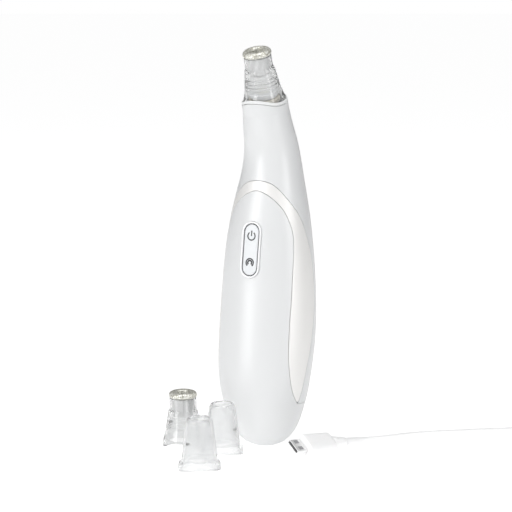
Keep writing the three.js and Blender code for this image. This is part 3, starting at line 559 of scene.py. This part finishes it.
C1 = [(0, -7.5, 113), (3.8, -7.7, 111.7), (6.7, -7.2, 110), (9.4, -6.6, 107.5), (11.7, -5.7, 104.9), (13.1, -5.2, 102.1), (14.6, -4.5, 98.4), (15.3, -4.3, 96), (16, -4.3, 92.7), (16.2, -4.7, 90.4), (16.5, -5.2, 86.5), (16.6, -5.9, 82.6), (16.6, -6.6, 78.2), (16.8, -7.1, 74.7), (16.8, -7.7, 70.8), (16.8, -8.1, 66.9), (16.7, -9.3, 59), (16.6, -10.2, 51.1), (16.8, -11, 43.3), (17.2, -11, 36.9), (17.6, -10.3, 31), (17.9, -9.1, 26.5), (18.15, -6.6, 22.4), (18.3, -4.6, 20.4)]
C2 = [(0, -6.5, 116.9), (3.1, -6.3, 116.7), (7, -5.3, 115.1), (10.8, -4, 111.3), (14.2, -1.9, 106.5), (16.5, 0.6, 101.5), (18.1, 2.5, 95.3), (19.4, 4.6, 87), (19.8, 5.9, 82.1), (20, 6.1, 78.7), (20.4, 6.6, 72.8), (20.7, 6.5, 66.4), (21.3, 4.6, 57), (21.4, 2.6, 49.2), (21.3, 0.4, 41.3), (20.8, -1.5, 35.4), (20.2, -2.7, 29.5), (19.3, -3.7, 24.1), (18.3, -4.6, 20.4)]


def boundary(points, sigma):
    """smooth curve (phi, z) from the leaf's tip up to the top of the arch, evenly spaced"""
    q = np.array([unmap(*p) for p in points])
    q[0, 0] = 0.0
    full = np.concatenate([q[::-1] * [-1, 1], q[1:]])             # left tip, over the arch, to the right tip
    metric = full * [18.0, 1.0]
    s = np.concatenate([[0], np.cumsum(np.linalg.norm(np.diff(metric, axis=0), axis=1))])
    t = np.linspace(0, s[-1], 2001)
    f = [spline(s, full[:, 0])(t), spline(s, full[:, 1])(t)]
    k = 2001 / s[-1] * sigma
    f = [blur(f[0], k), blur(f[1], k)]
    c = np.stack(f, 1)
    c = 0.5 * (c + c[::-1] * [-1, 1])
    return c                                                       # left tip ... top ... right tip


full1, full2 = boundary(C1, 2.2), boundary(C2, 2.2)
tip = 0.5 * (full1[-1] + full2[-1])
for c in (full1, full2):                                           # both edges meet at the leaf's tip
    k = len(c)
    w = np.zeros(k); w[-1] = 1; w[-60:] = np.linspace(0, 1, 60) ** 2
    c += w[:, None] * (tip - c[-1]); c += w[::-1, None] * (tip * [-1, 1] - c[0])


def along(curve, t):
    s = np.linspace(0, 1, len(curve))
    return np.stack([np.interp(t, s, curve[:, 0]), np.interp(t, s, curve[:, 1])], -1)


def offset(curve, d):
    """shift a curve sideways on the surface by d mm, positive towards larger angle on the right side"""
    m = curve * [18.0, 1.0]
    g = np.gradient(m, axis=0); g /= np.linalg.norm(g, axis=1)[:, None]
    nrm = np.stack([-g[:, 1], g[:, 0]], 1)
    return (m + nrm * d) / [18.0, 1.0]


def sheet_object(name, uv, faces, mats, thickness, bevel=0.16, seg=2, crown=None):
    P = S(uv[:, 0], uv[:, 1])
    if crown is not None:
        P = P + crown
    ob = new_object(name, P * MM, faces, mats)
    tidy(ob, 2e-6)
    # outward normals: compare with the centre line
    bm = bmesh.new(); bm.from_mesh(ob.data)
    total = 0.0
    for f in bm.faces:
        c = f.calc_center_median(); yc = float(np.interp(c.z / MM, dz, dy)) * MM
        total += f.normal.dot(Vector((c.x, c.y - yc, 0))) * f.calc_area()
    if total < 0:
        bmesh.ops.reverse_faces(bm, faces=bm.faces)
    bm.to_mesh(ob.data); bm.free()
    so = ob.modifiers.new("s", "SOLIDIFY"); so.thickness = thickness * MM; so.offset = -1; so.use_even_offset = False
    be = ob.modifiers.new("b", "BEVEL"); be.width = bevel * MM; be.segments = seg; be.limit_method = "ANGLE"; be.angle_limit = rad(50)
    return ob


def grid_faces(rows, cols, wrap=False):
    f = []
    for i in range(rows - 1):
        for j in range(cols if wrap else cols - 1):
            k = (j + 1) % cols
            f.append((i * cols + j, i * cols + k, (i + 1) * cols + k, (i + 1) * cols + j))
    return f


GAPH = 0.11
# right-hand side: a positive offset of the left-to-right curve points outwards or inwards; test once
probe = offset(full1, 1.0)
sgn = 1.0 if probe[1000, 1] > full1[1000, 1] else -1.0             # +1 when positive means away from the panel at the top
panel_edge = offset(full1, -sgn * GAPH)
trim_in = offset(full1, sgn * GAPH)
trim_out = offset(full2, -sgn * GAPH)
rear_edge = offset(full2, sgn * GAPH)
tipL = np.array([-tip[0], tip[1]])


def seam_z(phi, z0):
    """height of the seam between the bowl and the rear shell"""
    y = S(phi, np.full_like(phi, z0))[:, 1]
    return z0 - 0.0673 * (y + 4.6)


# ---- front shell: panel patch and bowl
M, ROWS = 76, 120
zt = float(tip[1])
# the corner lies on the arch where the curve runs at about 45 degrees
m1 = panel_edge * [18.0, 1.0]
g1 = np.gradient(m1, axis=0)
k45 = next(k for k in range(1000, 2000) if abs(g1[k, 1]) > 1.25 * abs(g1[k, 0]))
tk = k45 / 2000.0
R = along(panel_edge, np.linspace(1.0, tk, ROWS + 1))
R[0] = [panel_edge[-1, 0], zt]
L = R * [-1, 1]
top = along(panel_edge, np.linspace(1 - tk, tk, M + 1))
bottom = np.stack([np.linspace(L[0, 0], R[0, 0], M + 1), np.full(M + 1, zt)], 1)
uv = []
for i in range(ROWS + 1):
    t = i / ROWS
    for j in range(M + 1):
        s = j / M
        uv.append((1 - t) * bottom[j] + t * top[j] + (1 - s) * L[i] + s * R[i]
                  - ((1 - s) * (1 - t) * bottom[0] + s * (1 - t) * bottom[-1] + (1 - s) * t * top[0] + s * t * top[-1]))
uv_panel = np.array(uv)
faces = grid_faces(ROWS + 1, M + 1)
# bowl columns: first the panel's, then round the back
phis = np.concatenate([bottom[:, 0], np.linspace(R[0, 0], 2 * math.pi + L[0, 0], 100)[1:-1]])
zj = np.where(np.arange(len(phis)) <= M, zt, seam_z(phis, zt) - GAPH)
# each column runs from the foot up to the panel's bottom edge or, round the back, up to just below the seam
uv_bowl = []
NB = 44
arc_of = lambda z: np.interp(z, dz, dense)
z_of = lambda u: np.interp(u, dense, dz)
for i in range(NB + 1):
    t = i / NB
    uv_bowl.append(np.stack([phis, z_of(arc_of(zj) * t)], 1))
uv_bowl = np.concatenate(uv_bowl)
base = len(uv_panel)
faces += [tuple(base + v for v in f) for f in grid_faces(NB + 1, len(phis), wrap=True)]
front = sheet_object("front_panel_and_bowl", np.concatenate([uv_panel, uv_bowl]), faces, [WHITE], 1.6, 0.14)
# close the foot with a flat disc
bm = bmesh.new(); bm.from_mesh(front.data)
ring = [e for e in bm.edges if e.is_boundary and all(v.co.z < 0.02 * MM for v in e.verts)]
loop = list({v for e in ring for v in e.verts})
loop.sort(key=lambda v: math.atan2(v.co.y, v.co.x))
prev = loop
for s in (0.93, 0.6, 0.3):
    new = [bm.verts.new((v.co.x * s / 1.0, v.co.y * s / 1.0, 0.0)) for v in loop]
    for j in range(len(loop)):
        k = (j + 1) % len(loop)
        bm.faces.new((prev[k], prev[j], new[j], new[k]))
    prev = new
c = bm.verts.new((0, 0, 0))
for j in range(len(loop)):
    bm.faces.new((prev[(j + 1) % len(loop)], prev[j], c))
for f in bm.faces:
    f.smooth = True
bmesh.ops.recalc_face_normals(bm, faces=bm.faces)
bm.to_mesh(front.data); bm.free()
bm = bmesh.new(); bm.from_mesh(front.data)
f0 = min(bm.faces, key=lambda f: f.calc_center_median().y)
if f0.normal.y > 0:
    bmesh.ops.reverse_faces(bm, faces=bm.faces)
bm.to_mesh(front.data); bm.free()

# key frame
KC = Vector((0, -13.75, 88)); lean = rad(8.6)
key_m = Matrix(((1, 0, 0, KC[0]), (0, math.sin(lean), -math.cos(lean), KC[1]), (0, math.cos(lean), math.sin(lean), KC[2]), (0, 0, 0, 1)))


def stadium(w, h, n=32, inset=0.0):
    r, k = w / 2, h / 2 - w / 2
    r -= inset
    pts = []
    for i in range(n + 1):
        a = math.pi * i / n
        pts.append((r * math.cos(a), k + r * math.sin(a)))
    for i in range(n + 1):
        a = math.pi + math.pi * i / n
        pts.append((r * math.cos(a), -k + r * math.sin(a)))
    return pts


cutter = lofted("cutter", [(stadium(9.24, 24.44), -5), (stadium(9.24, 24.44), 5)], WHITE, key_m)
bo = front.modifiers.new("hole", "BOOLEAN"); bo.operation = "DIFFERENCE"; bo.object = cutter; bo.solver = "EXACT"
port_cut = lofted("port_cutter", [(rounded_rect(8.6, 3.7, 0.9, 6), 10), (rounded_rect(8.6, 3.7, 0.9, 6), 24)], WHITE,
                  Matrix(((-1, 0, 0, 0), (0, 0, 1, 0), (0, 1, 0, 13.2), (0, 0, 0, 1))))
bo = front.modifiers.new("port", "BOOLEAN"); bo.operation = "DIFFERENCE"; bo.object = port_cut; bo.solver = "EXACT"
bake(front)
for o in (cutter, port_cut):
    bpy.data.objects.remove(o)
sharpen(front, 40)
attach(front, "extractor"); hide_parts("front_shell")

# ---- silver trim: a strip along the inverted U
NT, NS = 520, 16
t = np.linspace(0, 1, NT + 1)
e1, e2 = along(trim_in, t), along(trim_out, t)
width = np.linalg.norm((e2 - e1) * [18, 1], axis=1)
rows = []
for j in range(NS + 1):
    s = j / NS
    rows.append(e1 + (e2 - e1) * s)
uv_trim = np.stack(rows, 1).reshape(-1, 2)
keep0, keep1 = 3, NT - 3                                            # the very tip stays a small blunt end
uv_trim = uv_trim.reshape(NT + 1, NS + 1, 2)[keep0:keep1 + 1].reshape(-1, 2)
trim = sheet_object("side_trim_band", uv_trim, grid_faces(keep1 - keep0 + 1, NS + 1), [TRIM], 1.3, 0.14)
bake(trim); sharpen(trim, 40)
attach(trim, "extractor"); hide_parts("side_trim")

# ---- rear shell: from the right edge round the back to the left edge, then the closed neck
NR, NC = 150, 132
tr_ = np.linspace(1.0, 0.5, NR + 1)
edge = along(rear_edge, tr_)
edge[-1, 0] = 0.0
z_top = float(edge[-1, 1])
rows = []
cc = np.linspace(0, 1, NC + 1)
w_edge = 1 - smoothstep(np.minimum(cc, 1 - cc) / 0.22)
for i in range(NR + 1):
    phi0, ze = edge[i]
    phi = phi0 + cc * (2 * math.pi - 2 * phi0)
    base_z = seam_z(phi, zt) + GAPH
    zu = base_z + (z_top - base_z) * (i / NR)
    blend = w_edge
    z = blend * ze + (1 - blend) * zu
    if i == 0:
        z = base_z
    rows.append(np.stack([phi, np.maximum(z, base_z + 1e-3 * i)], 1))
for zz in np.concatenate([np.linspace(z_top, 147, 44)[1:], np.linspace(147, 148, 9)[1:]]):
    rows.append(np.stack([cc * 2 * math.pi, np.full(NC + 1, zz)], 1))
uv_rear = np.concatenate(rows)
rear = sheet_object("rear_shell_and_neck", uv_rear, grid_faces(NR + 52, NC + 1), [WHITE], 1.6, 0.14)
head_m = Matrix.Translation((0, 0.75, 147)) @ Matrix.Rotation(rad(19), 4, "X")
pocket = turned("pocket_cutter", [(0, 1.7), (9.35, 1.7), (9.35, 14), (0, 14)], [WHITE], head_m, 132, closed=False)
bo = rear.modifiers.new("pocket", "BOOLEAN"); bo.operation = "DIFFERENCE"; bo.object = pocket; bo.solver = "EXACT"
bake(rear)
bpy.data.objects.remove(pocket)
sharpen(rear, 40)
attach(rear, "extractor"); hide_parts("rear_shell")

# ------------------------------------------------------------------ key capsule
def swept_ring(name, profile, w, h, mats, matrix, mat_of=None, n=40):
    """(inset, height) profile swept round a stadium"""
    verts, faces, idx = [], [], []
    m = len(profile)
    loops = [stadium(w, h, n, inset=i) for i, _ in profile]
    cnt = len(loops[0])
    for k in range(cnt):
        for i, (ins, z) in enumerate(profile):
            x, y = loops[i][k]
            verts.append(tuple(MM * c for c in matrix @ Vector((x, y, z))))
    for k in range(cnt):
        k2 = (k + 1) % cnt
        for i in range(m):
            l = (i + 1) % m
            faces.append((k * m + i, k2 * m + i, k2 * m + l, k * m + l)); idx.append(mat_of(i, profile) if mat_of else 0)
    ob = new_object(name, verts, faces, mats, mat_index=idx)
    tidy(ob, 1e-8)
    return ob


bez = fillet([(0, -2.4), (0, 0.02), (0.32, 0.12), (0.72, 0.02), (0.9, -0.5), (0.9, -2.4)], [0, .1, .2, .15, .1, 0], 4)
# faces of the inner wall (inset over 0.80) take the grey painted shade of the gap
bezel = swept_ring("key_bezel_ring", bez, 9.0, 24.2, [RINGW, LINER_GAP_SHADE], key_m, mat_of=lambda i, p: 1 if 0.5 * (p[i][0] + p[(i + 1) % len(p)][0]) > 0.80 else 0)
sharpen(bezel, 50)
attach(bezel, "extractor"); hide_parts("key_bezel")

pad_secs = []
for ins, z in [(0, -1.9), (0, -0.62), (0.04, -0.44), (0.14, -0.31), (0.30, -0.235), (0.55, -0.21)]:
    pad_secs.append((stadium(6.7, 21.9, 32, inset=ins), z))
pad = lofted("key_pad_grey", pad_secs, PAD, key_m)
pad.data.materials.append(PLATED)
out_dir_key = Vector((0, -math.cos(lean), math.sin(lean)))
for f in pad.data.polygons:                                        # its side walls are plated
    if abs(f.normal.dot(out_dir_key)) < 0.35:
        f.material_index = 1
sharpen(pad, 40)
for v in (-5.7, 5.7):
    nib = turned("key_nib_%s" % ("level" if v < 0 else "power"), [(0, -2.65), (0.9, -2.65), (1.0, -2.5), (1.0, -1.88), (0, -1.88)], [PAD], key_m @ Matrix.Translation((0, v, 0)), 24, closed=False)
    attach(nib, "key"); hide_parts("key_pad")
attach(pad, "key"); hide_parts("key_pad")


def strip_mesh(name, strips, mat, matrix, z0, z1):
    """thin printed strokes; each strip is a list of (inner point, outer point) pairs"""
    verts, faces = [], []
    for strip in strips:
        b = len(verts)
        m = len(strip)
        for p, q in strip:
            for (x, y) in (p, q):
                for z in (z0, z1):
                    verts.append(tuple(MM * c for c in matrix @ Vector((x, y, z))))
        for i in range(m - 1):
            a, c = b + 4 * i, b + 4 * (i + 1)
            faces += [(a + 1, a + 3, c + 3, c + 1), (a, c, c + 2, a + 2), (a, a + 1, c + 1, c), (a + 2, c + 2, c + 3, a + 3)]
        faces += [(b, b + 2, b + 3, b + 1), (b + 4 * (m - 1), b + 4 * (m - 1) + 1, b + 4 * (m - 1) + 3, b + 4 * (m - 1) + 2)]
    ob = new_object(name, verts, faces, [mat], smooth=False)
    tidy(ob, 1e-9)
    return ob


def arc_strip(cx, cy, r, w, a0, a1, n=40):
    return [((cx + (r - w / 2) * math.cos(rad(a)), cy + (r - w / 2) * math.sin(rad(a))), (cx + (r + w / 2) * math.cos(rad(a)), cy + (r + w / 2) * math.sin(rad(a)))) for a in np.linspace(a0, a1, n)]


def dot_strip(cx, cy, r, n=24):
    return [((cx + r * math.cos(rad(a)), cy - r * math.sin(rad(a))), (cx + r * math.cos(rad(a)), cy + r * math.sin(rad(a)))) for a in np.linspace(179.5, 0.5, n)]


PV, LV = 5.95, -5.5
power = strip_mesh("icon_power", [arc_strip(0, PV - 0.1, 1.72, 0.56, 90 + 34, 450 - 34), [((-0.28, PV - 0.1), (0.28, PV - 0.1)), ((-0.28, PV + 2.25), (0.28, PV + 2.25))]], ICON, key_m, -0.22, -0.19)
level = strip_mesh("icon_level", [arc_strip(0, LV, 1.72, 0.60, -52, 232), arc_strip(0, LV, 0.93, 0.70, -50, 230)], ICON, key_m, -0.22, -0.19)
for ic in (power, level):
    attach(ic, "key")

# ------------------------------------------------------------------ gasket, seat and suction tips
TIP_Z = 4.3
gprof = fillet([(9.35, 0.25), (9.82, 0.25), (9.80, 1.25), (9.62, 1.55), (9.35, 1.55)], [.1, .12, .25, .2, .1], 4)
gasket = turned("neck_gasket_ring", gprof, [GASKET], head_m, 160, lift=lambda a, z: float(lip_height(a + math.pi / 2)))
sharpen(gasket, 50)
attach(gasket, "extractor"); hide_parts("neck_gasket")
sprof = fillet([(1.5, -9.8), (2.4, -9.8), (2.4, -5), (7.6, -5), (7.6, -2.4), (5.9, -2.4), (5.9, 3.4), (5.2, 3.4), (5.2, 5.6), (5.9, 5.6), (5.9, 8.4), (3.4, 8.4), (3.4, 3.7), (1.5, 3.7)], 0.25, 3)
seat = turned("tip_seat_turned", sprof, [INNER], head_m, 96)
sharpen(seat, 40)
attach(seat, "extractor"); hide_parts("tip_seat")
ringp = fillet([(5.5, 3.7), (6.9, 3.7), (7.0, 4.5), (6.8, 5.3), (5.5, 5.3)], [.1, .5, .6, .5, .1], 4)
seal = turned("seal_ring_turned", ringp, [SEAL], head_m, 96)
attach(seal, "extractor"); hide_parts("seal_ring")
fprof = fillet([(0, 4.0), (3.1, 4.0), (3.1, 8.0), (0, 8.0)], [0, .4, .4, 0], 4, closed=False)
filt = turned("filter_pad_foam", fprof, [FOAM], head_m, 64, closed=False)
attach(filt, "extractor"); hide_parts("filter_pad")

fade = lambda z: max(0.0, 1 - z / 4.6)


def grit_lift(a, z):
    """a grit tip's rim stands higher on its front side, as the neck's lip does"""
    front = abs(math.degrees(math.atan2(math.cos(a), -math.sin(a))))
    return (-2.2 + 3.2 * math.exp(-(front / 50) ** 2.5)) * fade(z)


def plain_lift(a, z):
    """a plain tip's rim is gently wavy"""
    return 0.85 * (1 + math.cos(2 * a)) * fade(z)


PLAIN = [(9.1, 0), (9.1, 1.5), (8.8, 2.8), (8.4, 3.3), (7.8, 3.7), (7.5, 4.8), (6.75, 11.5), (5.75, 20.2), (5.4, 21.3), (4.8, 22), (3.9, 21.9), (3.8, 20.8), (4.75, 19.6), (6.5, 5.0), (7.0, 3.8), (8.2, 0)]
PLAIN_R = [.45, .9, .35, .3, .3, .9, 0, .6, .6, .5, .35, .3, .5, .6, .35, .3]
CONE = [(9.0, 0), (9.0, 1.7), (8.5, 3.0), (7.9, 4.6), (7.6, 6.0), (6.6, 12.8), (6.35, 14.0), (5.9, 14.7), (5.85, 19.7), (5.1, 19.7), (5.0, 12.2), (6.7, 5.8), (7.1, 4.4), (7.5, 3.4), (8.2, 0)]
CONE_R = [.3, .8, .8, 1.0, 1.5, .5, .4, .4, .15, .15, .5, 1.0, .6, .6, .3]
SLEEVE = [(4.85, 19.7), (4.8, 12.8), (4.3, 11.8), (3.3, 11.2), (3.0, 11.6), (3.0, 19.7)]
GRIT_RING = [(2.65, 20.5), (2.65, 20.05), (5.6, 20.05), (6.0, 20.25), (6.2, 20.8), (6.05, 21.6), (5.5, 22.2), (4.7, 22.5), (3.7, 22.4), (2.9, 22.0)]


def tip_set(tag, matrix, body, grit, nodes, hole_deg, hole_z, mat):
    prof = densify(fillet(CONE if grit else PLAIN, CONE_R if grit else PLAIN_R, 5), 0.28 if grit else 0.7)
    if grit:                                                       # shallow moulded rings inside the clear wall
        lo, hi = 5.8, 11.6
        inside = lambda r, z: lo < z < hi and r < np.interp(z, [lo, hi], [7.2, 5.5])
        prof = [(r + 0.19 * math.sin(2 * math.pi * z / 1.45), z) if inside(r, z) else (r, z) for r, z in prof]
    cone = turned(tag + "_cone", prof, [mat, VENT_SHADE], matrix, 144, lift=grit_lift if grit else plain_lift)
    # small oblong vent through the wall
    a = rad(hole_deg)
    hm = matrix @ Matrix.Rotation(a, 4, "Z") @ Matrix.Translation((0, 0, hole_z)) @ Matrix.Rotation(rad(90), 4, "Y") @ Matrix.Diagonal((0.62, 1.35, 1, 1))
    # the cutter's faces become the vent's walls and carry the dark grey painted shade
    cut = turned("cut", [(0, 3), (0.75, 3), (0.75, 9), (0, 9)], [mat, VENT_SHADE], hm, 24, closed=False, mat_of=lambda i: 1)
    bo = cone.modifiers.new("vent", "BOOLEAN"); bo.operation = "DIFFERENCE"; bo.object = cut; bo.solver = "EXACT"
    bake(cone); bpy.data.objects.remove(cut)
    sharpen(cone, 50)
    cone.visible_shadow = False                                    # clear plastic lets the light through
    cone.visible_diffuse = False
    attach(cone, body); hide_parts(nodes[0])
    if grit:
        sl = turned(tag + "_sleeve", fillet(SLEEVE, [.1, .4, .5, .4, .2, .1], 4), [SLEEVE_STEEL], matrix, 96)
        sharpen(sl, 50)
        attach(sl, body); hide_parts(nodes[1])
        gr = turned(tag + "_grit_ring", densify(fillet(GRIT_RING, .35, 4), 0.25), [GRIT], matrix, 144)
        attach(gr, body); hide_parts(nodes[2])


spare = lambda x, y, z, deg: Matrix.Translation((x, y, z)) @ Matrix.Rotation(rad(deg), 4, "Z")
tip_set("mounted_tip", head_m @ Matrix.Translation((0, 0, TIP_Z)), "head", True, ["head_cone", "head_sleeve", "head_grit_ring"], -135, 9.8, CLEAR)
tip_set("spare_grit_tip", spare(-28.6, -22.7, 2.3, 17), "spare_grit", True, ["spare_grit_cone", "spare_grit_sleeve", "spare_grit_ring"], -135, 9.8, CLEAR)
tip_set("spare_plain_tip_a", spare(-5.9, -48.4, 0.1, -55), "spare_plain_a", False, ["spare_plain_cone_a"], -56, 11.9, FROST)
tip_set("spare_plain_tip_b", spare(-8.4, -23.9, 0.1, -63), "spare_plain_b", False, ["spare_plain_cone_b"], 58, 11.3, FROST)

# ------------------------------------------------------------------ CAD nodes that stay, with better materials
look = {"chassis": INNER, "battery": CELL, "main_board": BOARD, "key_board": BOARD, "charge_board": BOARD, "key_switch_power": BLACK, "key_switch_level": BLACK,
        "motor_can": STEEL, "motor_eccentric": BRASS, "pump_body": BLACK, "pump_diaphragm": RUBBER, "pump_head": INNER, "suction_hose": SILICONE, "charge_socket": STEEL,
        "chassis_screw_1": STEEL, "chassis_screw_2": STEEL, "chassis_screw_3": STEEL, "chassis_screw_4": STEEL}
for node, m in look.items():
    ob = bpy.data.objects[node]
    if not ob.material_slots:
        ob.data.materials.append(m)
    for s in ob.material_slots:
        s.material = m

# ------------------------------------------------------------------ stage and light
FLOOR_GLOW, FLOOR_FILL = 0.93, 0.415
floor = new_object("floor", [(-40, -40, 0), (40, -40, 0), (40, 60, 0), (-40, 60, 0)], [(0, 1, 2, 3)], smooth=False)
fm = bpy.data.materials.new("floor_white"); fm.use_nodes = True
ft_ = fm.node_tree
fp = ft_.nodes["Principled BSDF"]
fp.inputs["Base Color"].default_value = (0.28, 0.28, 0.28, 1)
fp.inputs["Roughness"].default_value = 0.9
fp.inputs["Specular IOR Level"].default_value = 0.1
fp.inputs["Emission Color"].default_value = (1, 1, 1, 1)
fp.inputs["Emission Strength"].default_value = FLOOR_GLOW
dim = ft_.nodes.new("ShaderNodeBsdfPrincipled")                    # what the object itself sees of the floor
dim.inputs["Base Color"].default_value = (0.85, 0.85, 0.85, 1)
dim.inputs["Roughness"].default_value = 1.0
dim.inputs["Specular IOR Level"].default_value = 0.0
dim.inputs["Emission Color"].default_value = (1, 1, 1, 1)
dim.inputs["Emission Strength"].default_value = FLOOR_FILL


def seen_directly(tree):
    """1 for what the camera sees, straight or through a clear tip"""
    path = tree.nodes.new("ShaderNodeLightPath")
    top = tree.nodes.new("ShaderNodeMath"); top.operation = "MAXIMUM"
    tree.links.new(path.outputs["Is Camera Ray"], top.inputs[0])
    tree.links.new(path.outputs["Is Transmission Ray"], top.inputs[1])
    return top.outputs[0]


fx = ft_.nodes.new("ShaderNodeMixShader")
ft_.links.new(seen_directly(ft_), fx.inputs[0])
ft_.links.new(dim.outputs[0], fx.inputs[1])
ft_.links.new(fp.outputs[0], fx.inputs[2])
ft_.links.new(fx.outputs[0], ft_.nodes["Material Output"].inputs["Surface"])
floor.data.materials.append(fm)

world = bpy.data.worlds.new("studio"); scene.world = world
world.use_nodes = True
wt = world.node_tree
bg = wt.nodes["Background"]
bg.inputs["Color"].default_value = (0.985, 0.99, 1.0, 1)
wc = wt.nodes.new("ShaderNodeTexCoord")
wd = wt.nodes.new("ShaderNodeVectorMath"); wd.operation = "DOT_PRODUCT"
wd.inputs[1].default_value = (math.sin(AZ), -math.cos(AZ), 0.0)
wt.links.new(wc.outputs["Generated"], wd.inputs[0])
wr = wt.nodes.new("ShaderNodeMapRange")
wr.inputs["From Min"].default_value = -0.7
wr.inputs["From Max"].default_value = 0.7
wr.inputs["To Min"].default_value = 0.06                            # behind the object
wr.inputs["To Max"].default_value = 0.325                            # in front of it
wt.links.new(wd.outputs["Value"], wr.inputs["Value"])
wt.links.new(wr.outputs["Result"], bg.inputs["Strength"])
seen = wt.nodes.new("ShaderNodeBackground")
seen.inputs["Color"].default_value = (1, 1, 1, 1)
seen.inputs["Strength"].default_value = 1.0
mx = wt.nodes.new("ShaderNodeMixShader")
wt.links.new(seen_directly(wt), mx.inputs[0])
wt.links.new(bg.outputs[0], mx.inputs[1])
wt.links.new(seen.outputs[0], mx.inputs[2])
wt.links.new(mx.outputs[0], wt.nodes["World Output"].inputs["Surface"])


def area(name, az, height, dist, size, size_y, radiance, target=(0, 0, 0.09), spread=180):
    """soft box at an azimuth measured like the camera's (0 is straight in front, positive to +X)"""
    ld = bpy.data.lights.new(name, "AREA")
    ld.shape = "RECTANGLE"; ld.size = size; ld.size_y = size_y
    ld.energy = radiance * math.pi * size * size_y
    ld.spread = rad(spread)
    ob = bpy.data.objects.new(name, ld)
    scene.collection.objects.link(ob)
    loc = Vector((math.sin(rad(az)) * dist, -math.cos(rad(az)) * dist, height))
    ob.location = loc
    ob.rotation_euler = (Vector(target) - loc).to_track_quat("-Z", "Y").to_euler()
    return ob


area("left_box", 27 - 50, 0.42, 1.0, 0.44, 1.2, 4.15)
area("right_box", 27 + 51, 0.42, 1.0, 0.26, 1.2, 3.9)
area("top_box", 27, 1.15, 0.18, 0.7, 0.4, 5.8)
